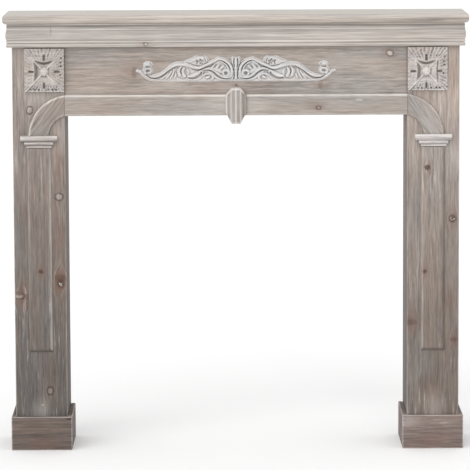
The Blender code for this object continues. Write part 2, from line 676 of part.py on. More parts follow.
def make_scroll(collection):
    rim = 2 * SCROLL_DRAWN_MARGIN * SCROLL_WIDTH / SCROLL_DRAWN_WIDTH + 2 * SCROLL_GRID
    u, v = grid_over(SCROLL_WIDTH + rim, SCROLL_HEIGHT + rim, SCROLL_GRID)
    share, reach = scroll_fields(u, v)
    front = -SCROLL_PLATE - SCROLL_RELIEF * share
    thing = relief_solid("scroll_carving", u, v, front, solid_cells(reach), 0.0, SCROLL_KEEP, collection)
    thing.location = (0.0, FRIEZE_FACE - GLUE_GAP, (RAIL_TOP + CORNICE_BOTTOM) / 2 + SCROLL_RAISE)
    return thing


def main():
    clear_scene()
    collection = make_collection("fireplace_mantelpiece")
    cutters = make_collection("cutters")
    make_shelf(collection)
    make_cornice(collection)
    make_header(collection)
    make_rail(collection)
    make_keystone(collection, cutters)
    make_scroll(collection)
    make_rosettes(collection)
    for side, word in ((-1, "left"), (1, "right")):
        make_leg(side, word, collection)
        make_shaft_panel(side, word, collection)
        make_capital(side, word, collection)
        make_arch(side, word, collection)


main()
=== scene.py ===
import math

import bmesh
import bpy
import numpy as np
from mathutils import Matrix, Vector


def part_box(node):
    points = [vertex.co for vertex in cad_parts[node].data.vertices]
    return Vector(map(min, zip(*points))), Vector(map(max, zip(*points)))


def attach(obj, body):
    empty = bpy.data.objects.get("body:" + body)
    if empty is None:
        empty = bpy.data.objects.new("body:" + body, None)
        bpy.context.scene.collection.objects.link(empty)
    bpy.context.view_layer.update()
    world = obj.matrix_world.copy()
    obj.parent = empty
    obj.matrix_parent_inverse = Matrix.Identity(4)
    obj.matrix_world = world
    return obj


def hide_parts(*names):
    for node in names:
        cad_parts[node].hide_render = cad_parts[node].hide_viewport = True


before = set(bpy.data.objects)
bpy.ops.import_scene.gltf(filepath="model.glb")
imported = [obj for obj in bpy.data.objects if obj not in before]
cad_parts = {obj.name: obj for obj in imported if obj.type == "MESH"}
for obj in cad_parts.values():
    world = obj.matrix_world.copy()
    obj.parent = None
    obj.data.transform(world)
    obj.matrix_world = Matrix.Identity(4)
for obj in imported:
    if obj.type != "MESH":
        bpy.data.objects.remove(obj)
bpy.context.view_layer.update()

scene = bpy.context.scene


# Legs: each is a tall box of three fir boards, open at the wall. The front board covers the edges of
# the two side boards. The fir is brushed, limed and rubbed back, so the white stays in the soft grain,
# and its colour is painted darker towards the floor, as painted shade for the light falling off there.
ARRIS_ROUNDING = 0.0014
ARRIS_WEAR = 0.45
STATION_STEP = 0.012
ARRIS_REACH = 0.0030
WAVER_LENGTHS = (0.31, 0.113, 0.047)
SHADE_BEND = 1.5
GRAIN_ORDER = {"upright": "ZXY", "upright side": "ZYX", "level": "XZY", "flat": "XYZ", "deep": "YZX"}


def srgb(red, green, blue):
    """A colour on the usual 0 to 255 scale, as the linear values that a shader takes."""
    shares = [value / 255 for value in (red, green, blue)]
    linear = [s / 12.92 if s <= 0.04045 else ((s + 0.055) / 1.055) ** 2.4 for s in shares]
    return (*linear, 1.0)


LIME = srgb(198, 193, 187)
# The dark glaze colour also paints shade in hollows, creases and faces turned from the light, and the stain
# and knot colours also paint the shadow at the heads of the inner cheeks.
GLAZE_AND_SHADE = srgb(78, 72, 66)
KNOT_AND_SHADE = srgb(68, 52, 45)
STAIN_AND_SHADE = srgb(108, 78, 64)
COOL_HUE = (0.965, 1.0, 1.040, 1.0)
WARM_HUE = (1.04, 0.985, 0.950, 1.0)


class Wire:
    """An output in a shader tree. Wires are added, multiplied and so on like numbers, node by node."""

    def __init__(self, socket):
        self.socket, self.tree = socket, socket.id_data

    def math(self, operation, *others, clamp=False):
        values = (self, *others)
        vector = any(isinstance(value, tuple) for value in others)
        vector |= any(value.socket.type != "VALUE" for value in values if isinstance(value, Wire))
        node = add_node(self.tree, "VectorMath" if vector else "Math", dict(enumerate(values)),
                        operation=operation)
        if clamp:
            node.use_clamp = True
        return Wire(node.outputs["Vector" if vector and operation != "LENGTH" else "Value"])

    def __add__(self, other):
        return self.math("ADD", other)

    def __sub__(self, other):
        return self.math("SUBTRACT", other)

    def __mul__(self, other):
        return self.math("MULTIPLY", other)

    def __truediv__(self, other):
        return self.math("DIVIDE", other)

    def split(self):
        return [Wire(socket) for socket in add_node(self.tree, "SeparateXYZ", {0: self}).outputs]

    def ramp(self, low, high, start=0.0, end=1.0, smooth=False):
        """The value carried from one range to another and kept inside it."""
        limits = {"From Min": low, "From Max": high, "To Min": start, "To Max": end}
        node = add_node(self.tree, "MapRange", {"Value": self, **limits},
                        interpolation_type="SMOOTHSTEP" if smooth else "LINEAR")
        return Wire(node.outputs["Result"])


def put(socket, value):
    """Joins a socket to a wire, or sets its value."""
    if isinstance(value, Wire):
        value.tree.links.new(value.socket, socket)
    else:
        socket.default_value = value


def add_node(tree, kind, values, **settings):
    node = tree.nodes.new("ShaderNode" + kind)
    for name, value in settings.items():
        setattr(node, name, value)
    for label, value in values.items():
        put(node.inputs[label], value)
    return node


def join(x, y, z):
    return Wire(add_node(x.tree, "CombineXYZ", {0: x, 1: y, 2: z}).outputs[0])


def tint(under, over, share, kind="MIX"):
    """One colour laid over another."""
    tree = next(value.tree for value in (under, over, share) if isinstance(value, Wire))
    node = add_node(tree, "Mix", {0: share}, data_type="RGBA", blend_type=kind)
    put(node.inputs[6], under)
    put(node.inputs[7], over)
    return Wire(node.outputs[2])


def noise(place, stretch, detail, roughness=0.55, output="Fac"):
    """Noise with so many features to the metre along each axis."""
    values = {"Vector": place * stretch, "Scale": 1.0, "Detail": detail, "Roughness": roughness}
    return Wire(add_node(place.tree, "TexNoise", values).outputs[output])


def make_group(name, inputs, build):
    """A node group. Its inputs are given with their usual values, and build turns them into outputs."""
    tree = bpy.data.node_groups.new(name, "ShaderNodeTree")
    for label, value in inputs.items():
        kind = "Float" if isinstance(value, float) else "Vector" if len(value) == 3 else "Color"
        socket = tree.interface.new_socket(label, in_out="INPUT", socket_type="NodeSocket" + kind)
        socket.default_value = value
    given = tree.nodes.new("NodeGroupInput").outputs
    results = build({label: Wire(given[label]) for label in inputs})
    kinds = {"VALUE": "Float", "VECTOR": "Vector", "RGBA": "Color"}
    for label, wire in results.items():
        socket_type = "NodeSocket" + kinds[wire.socket.type]
        tree.interface.new_socket(label, in_out="OUTPUT", socket_type=socket_type)
    end = tree.nodes.new("NodeGroupOutput")
    for label, wire in results.items():
        put(end.inputs[label], wire)
    return tree


def use_group(tree, group, **values):
    """A group's outputs by name, once it is placed in a tree."""
    node = add_node(tree, "Group", values, node_tree=group)
    return {socket.name: Wire(socket) for socket in node.outputs}


def fir_grain(given):
    """Growth rings cut along the stem, fine fibres, thin dark veins, wisps of lime left in the pores,
    broad patches and a slow drift of hue. X runs along the grain."""
    position, seed = given["Position"], given["Seed"]
    place = position + join(seed * 3.1, seed * 5.3, seed * 1.7)
    wander = (noise(place, (1.3, 6, 6), 2.0, output="Color") - (0.5, 0.5, 0.5)) * (0, 0.060, 0.060)
    radius = ((position + wander + given["Pith"]) * (0, 1, 1)).math("LENGTH")
    turns = radius / given["Spacing"] + noise(place, (3, 55, 55), 2.0) * 1.1
    ring = turns.math("FRACT").math("POWER", 4.0)
    strength = noise(place, (1.5, 20, 20), 2.0).ramp(0.42, 0.66, 0.1, 1.0)
    coarse, fine = noise(place, (11, 190, 190), 3.0, 0.66), noise(place, (32, 520, 520), 2.0, 0.65)
    vein = noise(place, (4.5, 230, 230), 2.0).ramp(0.32, 0.42, 1.0, 0.0)
    veined = noise(place, (3, 18, 18), 3.0).ramp(0.42, 0.58)
    other = place + (7, 7, 7)
    white = noise(other, (15, 190, 190), 3.0, 0.65).ramp(0.53, 0.66)
    whitened = noise(other, (4, 16, 16), 2.0).ramp(0.44, 0.58)
    return {"Latewood": ring * strength, "Fibre": coarse * 0.55 + fine * 0.45, "Vein": vein * veined,
            "Wisp": white * whitened, "Patch": noise(place, (6, 30, 30), 4.0, 0.66),
            "Drift": noise(place + (9, 9, 9), (3, 14, 14), 3.0, 0.6)}


def knot(given):
    """A knot: its core, a flake at the core's lower side, chips in the core, its rim, the stain round it,
    and how it bends the grain past it."""
    position, radius = given["Position"], given["Radius"]
    away = position - given["Centre"]
    ragged = (noise(position, (240, 240, 240), 3.0, output="Color") - (0.5, 0.5, 0.5)) * (0.008, 0.008, 0.0)
    near = (away + ragged) * given["Squash"]
    turns = near.math("LENGTH") / radius
    core = turns.ramp(0.45, 1.15, 1.0, 0.0, smooth=True)
    lower = (near.split()[0] / radius).ramp(-0.15, 0.35, 1.0, 0.0)
    chipped = noise(position, (330, 330, 330), 1.0).ramp(0.47, 0.56)
    heart = turns.ramp(0.20, 0.55, 1.0, 0.0)
    rim = (turns - 1.15).math("ABSOLUTE").ramp(0.0, 0.42, 1.0, 0.0, smooth=True)
    spread = ((away + ragged) * (0.45, 0.8, 0.0)).math("LENGTH") / radius
    stain_and_shade = spread.ramp(0.2, 2.3, 1.0, 0.0, smooth=True)
    return {"Core": core, "Flake": core * lower, "Chip": heart * chipped, "Rim": rim, "Stain": stain_and_shade,
            "Bend": away * (0.0, -0.7, 0.0) * stain_and_shade}


def board_arris(given):
    """Nearness to a board's arrises, from its middle and half sizes: 1 on the arris, 0 away from it."""
    off = (given["Position"] - given["Centre"]).math("ABSOLUTE")
    x, y, z = (given["Half"] - off).split()
    second = x.math("MINIMUM", y).math("MAXIMUM", x.math("MAXIMUM", y).math("MINIMUM", z))
    return {"Arris": (second / given["Reach"]).ramp(0.2, 1.0, 1.0, 0.0, smooth=True)}


def lime_wash(given):
    """Limed fir: greige wood streaked by its grain and darkened by Shade as painted shade, white lime left on
    arrises and scuffs with some painted light among them, brown stains round knots, and dark glaze with
    painted shade in the hollows."""
    fibre, rim = given["Fibre"], given["Rim"]
    streaks = (fibre - 0.5) * 2.1 + (given["Patch"] - 0.5) * 0.6
    streaks = (streaks - given["Latewood"] * 0.2 - given["Vein"] * 0.26) * given["Contrast"]

    def streaked(color, amount, shade):
        return tint(color, (streaks * amount + 1.0) * shade, 1.0, "MULTIPLY")

    hue = tint(COOL_HUE, WARM_HUE, given["Drift"].ramp(0.36, 0.64))
    color = streaked(tint(given["Tone"], hue, 1.0, "MULTIPLY"), 1.0, given["Shade"])
    color = tint(color, STAIN_AND_SHADE, given["Stain"].math("MULTIPLY", 0.5, clamp=True))
    color = tint(color, KNOT_AND_SHADE, rim.math("MINIMUM", 0.9))
    rubbed = fibre.ramp(0.36, 0.56, 0.55, 1.0)
    wisps = given["Wisp"] * (given["Contrast"] * 0.30) * rim.ramp(0.0, 1.0, 1.0, 0.0)
    lime = (given["Arris"] * rubbed + given["Scuff"]).math("ADD", wisps, clamp=True)
    color = tint(color, streaked(given["Lime"], 0.4, 1.0), lime)
    return {"Color": tint(color, GLAZE_AND_SHADE, given["Hollow"]), "Roughness": lime.ramp(0.0, 1.0, 0.62, 0.86),
            "Height": given["Latewood"] * 0.6 + fibre + lime * 0.3}


FIR_GRAIN = make_group("fir grain", {"Position": (0, 0, 0), "Seed": 0.0, "Spacing": 0.0075,
                                     "Pith": (0, 0.01, 0.06)}, fir_grain)
KNOT_MARK = make_group("knot", {"Position": (0, 0, 0), "Centre": (0, 0, 0), "Radius": 0.005,
                                "Squash": (0.8, 1, 0)}, knot)
BOARD_ARRIS = make_group("board arris", {"Position": (0, 0, 0), "Centre": (0, 0, 0), "Half": (1, 1, 1),
                                         "Reach": ARRIS_REACH}, board_arris)
LIME_WASH = make_group("lime wash", {"Tone": LIME, "Lime": LIME, "Latewood": 0.0, "Fibre": 0.5, "Vein": 0.0,
                                     "Wisp": 0.0, "Patch": 0.5, "Drift": 0.5, "Arris": 0.0, "Hollow": 0.0,
                                     "Scuff": 0.0, "Stain": 0.0, "Rim": 0.0, "Shade": 1.0, "Contrast": 1.0},
                       lime_wash)


def along_grain(point, order):
    """A point with its axes put in the board's order: along the grain, across it and through it."""
    return tuple(point["XYZ".index(axis)] for axis in order)


# Kinds of spot on a board: how a knot is squashed along and across the grain, and what it puts into
# the masks of scuffs, stains and rims. Some hazes are painted light, and some brown spots painted shadow.
SPOTS = {
    "ring": ((0.75, 1.0, 0.0), (("scuff", "Core", 0.10), ("rim", "Rim", 0.95), ("stain_and_shade", "Stain", 0.25))),
    "dark": ((0.9, 0.8, 0.0), (("rim", "Core", 0.85), ("stain_and_shade", "Stain", 0.95))),
    "chip": ((0.8, 0.9, 0.0), (("scuff", "Chip", 0.85), ("rim", "Core", 0.85), ("stain_and_shade", "Stain", 0.60))),
    "hook": ((1.3, 0.7, 0.0), (("scuff", "Flake", 0.32), ("rim", "Rim", 0.30), ("stain_and_shade", "Stain", 0.40))),
    "pale": ((1.0, 0.9, 0.0), (("scuff", "Core", 0.30), ("rim", "Rim", 0.60))),
    "brown": ((1.2, 0.6, 0.0), (("stain_and_shade", "Stain", 0.80), ("rim", "Core", 0.42))),
    "joint": ((2.6, 0.45, 0.0), (("rim", "Core", 0.42),)),
    "chink": ((0.55, 2.2, 0.0), (("rim", "Core", 1.00),)),
    "filled": ((0.9, 1.0, 0.0), (("scuff", "Core", 0.62), ("rim", "Rim", 0.55), ("stain_and_shade", "Stain", 0.90))),
    "smudge": ((0.45, 1.3, 0.0), (("scuff", "Core", 0.45),)),
    "tan": ((1.0, 1.0, 0.0), (("stain_and_shade", "Stain", 0.55),)),
    "haze_and_light": ((1.0, 1.0, 0.0), (("scuff", "Stain", 0.20),)),
}
BEND_NO_GRAIN = ("haze_and_light", "tan", "smudge", "joint", "chink")
GLOSS = 0.25
GRAIN_BUMP = 0.4
GRAIN_DEPTH = 0.0006


def limed_fir(name, grain, low, high, seed, tone, shade=(0.0, 1.0, 1.0, 1.0), spots=(), arris=0.45,
              painted=False, spacing=0.0075, pith=(0.0, 0.012, 0.055), contrast=1.0, lime=LIME, slant=0.0,
              straight=1.0):
    """Material of one limed board. Spots are (kind, x, z, radius); painted takes the arrises and hollows
    from the mesh's own masks instead of the board's edges; slant turns the grain on the face, and a
    straight below 1 draws it out."""
    material = bpy.data.materials.new(name)
    material.use_nodes = True
    tree = material.node_tree
    order = GRAIN_ORDER[grain]
    centre = [(a + b) / 2 for a, b in zip(low, high)]
    half = [(b - a) / 2 for a, b in zip(low, high)]
    position = Wire(tree.nodes.new("ShaderNodeTexCoord").outputs["Object"])
    axes = dict(zip("XYZ", position.split()))
    place = join(*[axes[axis] for axis in order]) - along_grain(centre, order)

    bent, masks = place, {"scuff": 0.0, "stain_and_shade": 0.0, "rim": 0.0}
    for kind, x, z, radius in spots:
        away = along_grain([x - centre[0], 0.0, z - centre[2]], order)
        squash, shares = SPOTS[kind]
        mark = use_group(tree, KNOT_MARK, Position=place, Centre=away, Radius=radius, Squash=squash)
        for mask, output, share in shares:
            masks[mask] = mark[output] * share + masks[mask]
        if kind not in BEND_NO_GRAIN:
            bent = bent + mark["Bend"]
    if slant:
        turned = add_node(tree, "VectorRotate", {"Vector": bent, "Angle": slant}, rotation_type="Z_AXIS")
        bent = Wire(turned.outputs["Vector"])
    if straight < 1:
        bent = bent * (straight, 1.0, 1.0)
    fir = use_group(tree, FIR_GRAIN, Position=bent, Seed=seed, Spacing=spacing, Pith=pith)

    if painted:
        edge, hollow, scuff = [Wire(add_node(tree, "Attribute", {}, attribute_name=label).outputs["Fac"])
                               for label in ("arris", "hollow", "scuff")]
        scuff = scuff + masks["scuff"]
    else:
        edge = use_group(tree, BOARD_ARRIS, Position=position, Centre=centre, Half=half)["Arris"]
        hollow, scuff = 0.0, masks["scuff"]
    # Painted shade: the colour is darkened from head to foot, standing in for the light falling off towards
    # the floor.
    foot, foot_shade, head, head_shade = shade
    rise = axes["Z"].ramp(foot, head).math("POWER", SHADE_BEND)
    wash = use_group(tree, LIME_WASH, Tone=tone, Lime=lime, Arris=edge * arris, Hollow=hollow, Scuff=scuff,
                     Stain=masks["stain_and_shade"], Rim=masks["rim"], Contrast=contrast,
                     Shade=rise.ramp(0.0, 1.0, foot_shade, head_shade), **fir)

    bump = add_node(tree, "Bump", {"Strength": GRAIN_BUMP, "Distance": GRAIN_DEPTH, "Height": wash["Height"]})
    shader = tree.nodes["Principled BSDF"]
    shader.inputs["Specular IOR Level"].default_value = GLOSS
    put(shader.inputs["Base Color"], wash["Color"])
    put(shader.inputs["Roughness"], wash["Roughness"])
    put(shader.inputs["Normal"], Wire(bump.outputs["Normal"]))
    return material


def skin(name, rings, **masks):
    """A closed skin over rings of points, with masks painted on its points."""
    rings = np.asarray(rings, dtype=float)
    count, around = rings.shape[:2]
    number = np.arange(count * around).reshape(count, around)
    ahead = np.roll(number, -1, axis=1)
    sides = np.stack([number[:-1], ahead[:-1], ahead[1:], number[1:]], axis=-1).reshape(-1, 4)
    mesh = bpy.data.meshes.new(name)
    ends = [number[0].tolist(), number[-1].tolist()]
    mesh.from_pydata(rings.reshape(-1, 3).tolist(), [], sides.tolist() + ends)
    for label, values in masks.items():
        layer = mesh.attributes.new(label, "FLOAT", "POINT")
        layer.data.foreach_set("value", np.broadcast_to(values, (count, around)).astype(np.float32).ravel())
    return finish_mesh(name, mesh)


def finish_mesh(name, mesh, crease=38):
    """Turns the faces outward, shades them smooth but for the creases, and gives the object."""
    bm = bmesh.new()
    bm.from_mesh(mesh)
    bmesh.ops.recalc_face_normals(bm, faces=bm.faces)
    bm.to_mesh(mesh)
    bm.free()
    mesh.shade_smooth()
    mesh.set_sharp_from_angle(angle=math.radians(crease))
    piece = bpy.data.objects.new(name, mesh)
    scene.collection.objects.link(piece)
    return piece


def dress(piece, node, slot, grain, seed, **look):
    """Gives a piece limed fir of its own and sets it in its node's place."""
    piece.data.materials.append(limed_fir(f"{piece.name}_fir", grain, *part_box(node), seed, **look))
    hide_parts(node)
    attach(piece, "root")


def waver(places, seed):
    """An uneven line between about -1 and 1 along a board, the same each time for a seed."""
    random = np.random.default_rng(seed)
    waves = [np.sin(places * 2 * math.pi / length + random.uniform(0, 6.3)) for length in WAVER_LENGTHS]
    return sum(waves) / 2


def board(name, low, high, along, seed, rounding=ARRIS_ROUNDING, fill=0):
    """A sawn board with its arrises rounded a little unevenly, as sanding by hand leaves them."""
    low, high = np.array(low), np.array(high)
    b, c = [axis for axis in range(3) if axis != along]
    inner = np.arange(low[along] + 2 * rounding, high[along] - 2 * rounding, STATION_STEP)
    eased = [(0.0, rounding), (0.3 * rounding, 0.3 * rounding), (rounding, 0.0)]
    stations = [(low[along] + step, inset) for step, inset in eased]
    stations += [(place, 0.0) for place in inner]
    stations += [(high[along] - step, inset) for step, inset in eased[::-1]]
    rings = []
    for place, inset in stations:
        ring = []
        for corner, (side_b, side_c) in enumerate(((1, 1), (-1, 1), (-1, -1), (1, -1))):
            worn = rounding * (1 + ARRIS_WEAR * float(waver(np.array([place]), seed + corner)[0]))
            worn = max(worn - inset, 0.2 * rounding)
            for turn in np.radians(np.linspace(0, 90, 4) + 90 * corner):
                point = np.empty(3)
                edge_b = (high[b] if side_b > 0 else low[b]) - side_b * (inset + worn)
                edge_c = (high[c] if side_c > 0 else low[c]) - side_c * (inset + worn)
                point[along] = place
                point[b] = edge_b + worn * math.cos(turn)
                point[c] = edge_c + worn * math.sin(turn)
                ring.append(point)
        if fill:
            filled = []
            for start, end in zip(ring, ring[1:] + ring[:1]):
                steps = fill + 1 if np.linalg.norm(end - start) > 4 * rounding else 1
                filled += [start + (end - start) * k / steps for k in range(steps)]
            ring = filled
        rings.append(ring)
    return skin(name, rings)


# The three hazes in a row 0.85 high, under the rosette, are painted light: they lift the shadow that the
# rosette block casts on the leg.
LEFT_LEG_SPOTS = [("ring", -0.4886, 0.8164, 0.0062), ("pale", -0.4213, 0.6097, 0.0075),
                  ("chip", -0.4202, 0.4009, 0.0100), ("brown", -0.4202, 0.4150, 0.0110),
                  ("hook", -0.5195, 0.3727, 0.0085), ("brown", -0.5050, 0.3700, 0.0120),
                  ("ring", -0.4473, 0.1425, 0.0064), ("pale", -0.4656, 0.1086, 0.0030),
                  ("haze_and_light", -0.4170, 0.7480, 0.0110), ("haze_and_light", -0.4700, 0.0850, 0.0120),
                  ("tan", -0.4180, 0.6900, 0.0180), ("tan", -0.4180, 0.5200, 0.0150),
                  ("tan", -0.4960, 0.5700, 0.0090), ("haze_and_light", -0.4250, 0.8500, 0.0090),
                  ("haze_and_light", -0.4550, 0.8500, 0.0090), ("haze_and_light", -0.4850, 0.8500, 0.0090)]
RIGHT_LEG_SPOTS = [("chip", 0.5141, 0.5536, 0.0098), ("brown", 0.4154, 0.3040, 0.0105),
                   ("brown", 0.5182, 0.2622, 0.0080), ("haze_and_light", 0.4700, 0.0900, 0.0140),
                   ("haze_and_light", 0.5140, 0.6950, 0.0130), ("tan", 0.4600, 0.1300, 0.0150),
                   ("tan", 0.5070, 0.3550, 0.0110)]
LEG_LOOKS = {
    "left": {"tone": srgb(141, 131, 124), "shade": (0.08, 0.385, 0.90, 1.0), "spots": LEFT_LEG_SPOTS},
    "right": {"tone": srgb(148, 137, 129), "shade": (0.08, 0.47, 0.90, 1.17), "spots": RIGHT_LEG_SPOTS},
}
# Painted shade: the cheeks facing into the opening are darker, and brown spots at their heads stand for the
# shadow that the header casts there.
INNER_PAINTED_SHADE = 0.74
INNER_SHADOW_SPOTS = {"left": [("brown", -0.4060, 0.7880, 0.0170)], "right": [("brown", 0.4060, 0.7880, 0.0120)]}

for seed, side in enumerate(LEG_LOOKS):
    look = LEG_LOOKS[side]
    node = f"leg_front_board_{side}"
    low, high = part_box(node)
    front = board(f"{side}_leg_front", low, high, 2, 11 + seed)
    dress(front, node, "leg_wood", "upright", 1.7 + seed, arris=0.28, **look)
    for place in ("outer", "inner"):
        node = f"leg_{place}_board_{side}"
        low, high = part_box(node)
        cheek = board(f"{side}_leg_{place}_side", low, high, 2, 21 + seed)
        reveal_shade = INNER_PAINTED_SHADE if place == "inner" else 1.0
        shade = (look["shade"][0], look["shade"][1] * reveal_shade, look["shade"][2], look["shade"][3] * reveal_shade)
        dress(cheek, node, "leg_wood", "upright side", 4.3 + seed, tone=look["tone"], shade=shade,
              spots=INNER_SHADOW_SPOTS[side] if place == "inner" else ())


# Plinths: three short boards wrapped round each foot, their grain level, the front one over the ends
# of the two others. Their top edges took more lime, and the wood is painted a little darker towards the
# floor as painted shade.
PLINTH_TONE = {"left": srgb(98, 87, 81), "right": srgb(115, 102, 97)}
PLINTH_SPOTS = {"left": [("chink", -0.4020, 0.0760, 0.0060), ("tan", -0.4657, 0.0160, 0.0110)],
                "right": [("haze_and_light", 0.4080, 0.0680, 0.0080), ("tan", 0.4640, 0.0180, 0.0140)]}

for seed, (side, tone) in enumerate(PLINTH_TONE.items()):
    for place, grain, along in (("front", "level", 0), ("outer", "deep", 1), ("inner", "deep", 1)):
        node = f"plinth_{place}_{side}"
        low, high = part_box(node)
        plinth = board(f"{side}_plinth_{place}", low, high, along, 31 + along)
        dress(plinth, node, "plinth_wood", grain, 6.1 + along + 3 * seed, tone=tone, arris=0.50,
              shade=(0.0, 0.95, 0.08, 1.05), pith=(0.0, 0.03, 0.04),
              spots=PLINTH_SPOTS[side] if place == "front" else ())


# Header: a wide frieze board let in between the legs, a little behind their faces, and a soffit board
# under it that closes the box above the opening. Level grain, and the best fir of the piece.
HEADER_TONE = srgb(149, 141, 134)
FRIEZE_SPOTS = [("filled", 0.3645, 0.9480, 0.0064), ("brown", 0.1996, 0.8773, 0.0085),
                ("brown", -0.2400, 0.9050, 0.0100), ("dark", 0.0007, 0.8738, 0.0022),
                ("tan", 0.0600, 0.8740, 0.0180), ("tan", -0.0700, 0.8740, 0.0180)]

low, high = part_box("frieze_board")
frieze = board("frieze", low, high, 0, 41, fill=22)
dress(frieze, "frieze_board", "header_wood", "level", 8.6, tone=HEADER_TONE, spots=FRIEZE_SPOTS,
      painted=True, arris=0.0, pith=(0.0, 0.03, 0.05), spacing=0.009, contrast=0.9)

low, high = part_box("header_soffit")
soffit = board("soffit", low, high, 0, 42)
dress(soffit, "header_soffit", "header_wood", "flat", 10.2, tone=HEADER_TONE)


# Lintel rail: a flat strip planted along the header's lower edge, with its long edges rounded over.
# The upper edge is rubbed with lime, which draws a white line across the header; it is limed more than
# the lower edge, partly as a painted highlight for the light from above.
RAIL_ROUNDING = 0.0026
RAIL_STEP = 0.010
EDGE_FADE = 0.0035
RAIL_SPOTS = [("ring", 0.1956, 0.8200, 0.0036), ("tan", 0.1900, 0.8260, 0.0080),
              ("smudge", 0.2920, 0.8384, 0.0042), ("haze_and_light", -0.0400, 0.8270, 0.0140),
              ("haze_and_light", 0.0400, 0.8270, 0.0140)]


def quarter(radius, start_deg, steps=5):
    """Points of a quarter circle about the origin."""
    return [(radius * math.cos(a), radius * math.sin(a))
            for a in np.radians(np.linspace(start_deg, start_deg + 90, steps + 1))]


low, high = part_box("lintel_rail")
face, head, foot = low.y + RAIL_ROUNDING, high.z - RAIL_ROUNDING, low.z + RAIL_ROUNDING
top_turn = [(face - out, head + up) for up, out in quarter(RAIL_ROUNDING, 0)]
foot_turn = [(face - out, foot + up) for up, out in quarter(RAIL_ROUNDING, 90)]
section = [(high.y, high.z), *top_turn, (low.y, head - EDGE_FADE), (low.y, foot + EDGE_FADE), *foot_turn,
           (high.y, low.z)]
# More lime on the upper edge than the lower, partly a painted highlight for the light from above
rail_arris = [0.8, *[1.0] * len(top_turn), 0.0, 0.0, *[0.3] * len(foot_turn), 0.0]
places = np.arange(low.x, high.x, RAIL_STEP).tolist() + [high.x]
rail = skin("rail", [[(x, y, z) for y, z in section] for x in places], arris=rail_arris)
dress(rail, "lintel_rail", "header_wood", "level", 12.6, tone=HEADER_TONE, painted=True, arris=1.0,
      spots=RAIL_SPOTS, pith=(0.0, 0.02, 0.045), contrast=0.75)


# Brackets: a quarter ring sawn from one board at each end of the rail, carrying its line down to the
# capitals. The outer edge is rounded over and limed; the grain runs slantwise across the curve. The left
# bracket's edge takes more lime, partly a painted highlight where the light from the left falls on it.
ARCH_STEPS = 28
BRACKET_SLANT = math.radians(35)
ARCH_DROP = 0.0035
BRACKET_LOOKS = {
    "left": {"tone": srgb(135, 127, 121), "arris": 0.9, "spots": ()},
    "right": {"tone": srgb(142, 133, 126), "arris": 0.3, "spots": [("haze_and_light", 0.4700, 0.7900, 0.0140)]},
}
rail_low, rail_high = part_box("lintel_rail")

for seed, (side, sign) in enumerate((("left", -1), ("right", 1))):
    node = f"arch_bracket_{side}"
    low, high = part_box(node)
    joint = min(abs(low.x), abs(high.x))
    spring = max(abs(low.x), abs(high.x))
    width = spring - joint
    # Both arcs turn about one point a little below the bracket's foot. The outer one runs from the
    # foot's far corner to the rail's upper edge at the joint.
    centre_z = low.z - ARCH_DROP
    rise = rail_high.z - centre_z
    reach = (width ** 2 + rise ** 2 - ARCH_DROP ** 2) / (2 * width)
    centre_x = spring - reach
    outer = math.hypot(reach, ARCH_DROP)
    inner = math.hypot(joint - centre_x, rail_low.z - centre_z)

    def outline(inset):
        points = []
        for radius, turn in ((outer - inset, 1), (inner + inset, -1)):
            from_foot, to_joint = math.asin(ARCH_DROP / radius), math.acos((joint - centre_x) / radius)
            angles = np.linspace(from_foot, to_joint, ARCH_STEPS + 1)[::turn]
            points += [(centre_x + radius * math.cos(a), centre_z + radius * math.sin(a)) for a in angles]
        return points

    # Depth, inset from the outline and lime of each ring, from the back to the face
    face = low.y + RAIL_ROUNDING
    levels = [(high.y, 0.0, 0.5)]
    levels += [(face - out, RAIL_ROUNDING - up, 1.0) for up, out in quarter(RAIL_ROUNDING, 0)]
    levels.append((low.y, RAIL_ROUNDING + EDGE_FADE, 0.0))
    rings = [[(sign * x, y, z) for x, z in outline(inset)] for y, inset, _ in levels]
    # Lime along the outer edge, lighter on the right bracket: on the left it is partly a painted highlight
    # where the light from the left falls.
    on_outer = np.linspace(0.35 if sign > 0 else 0.9, 1.0, ARCH_STEPS + 1)
    on_inner = np.full(ARCH_STEPS + 1, 0.25)
    arris = np.outer([share for _, _, share in levels], np.concatenate([on_outer, on_inner]))
    bracket = skin(f"{side}_bracket", rings, arris=arris)
    dress(bracket, node, "header_wood", "upright", 14.2 + 2 * seed, painted=True, pith=(0.0, 0.05, 0.04),
          contrast=1.2, slant=sign * BRACKET_SLANT, **BRACKET_LOOKS[side])


# Capitals: each is moulded in one piece, an abacus with rounded ends over a smaller step and a necking.
# The lime lies thick on the rounds, and the quirks between them are darkened as painted shade.
NECK_TALL = 0.0045
STEP_TALL = 0.0095
STEP_IN = 0.00925
NECK_IN = 0.01375
ABACUS_ROUND = 0.005
STEP_ROUND = 0.004
TOP_ROUNDING = 0.002
CAPITAL_RAKE = 0.30
CAPITAL_LIME = srgb(210, 206, 202)
# Tone, lime on the arrises and painted shade in the quirks
CAPITAL_LOOKS = {"left": (srgb(147, 139, 135), 0.60, 0.85), "right": (srgb(162, 155, 151), 0.68, 0.36)}


def rounded_step(inset, foot, head, low_round, top_round):
    """Inset, height, arris and hollow masks up one step of the capital: its lower corner is rounded and
    darkened as painted shade, its upper one rounded and limed."""
    turns = np.radians(np.linspace(0, 90, 6))
    lower = [(inset + low_round * (1 - math.sin(a)), foot + low_round * (1 - math.cos(a)), 0.0, math.cos(a))
             for a in turns]
    upper = [(inset + top_round * (1 - math.cos(a)), head - top_round * (1 - math.sin(a)), 1.0, 0.0)
             for a in turns]
    return [*lower, (inset, foot + 1.2 * low_round, 0.8, 0.0), *upper]


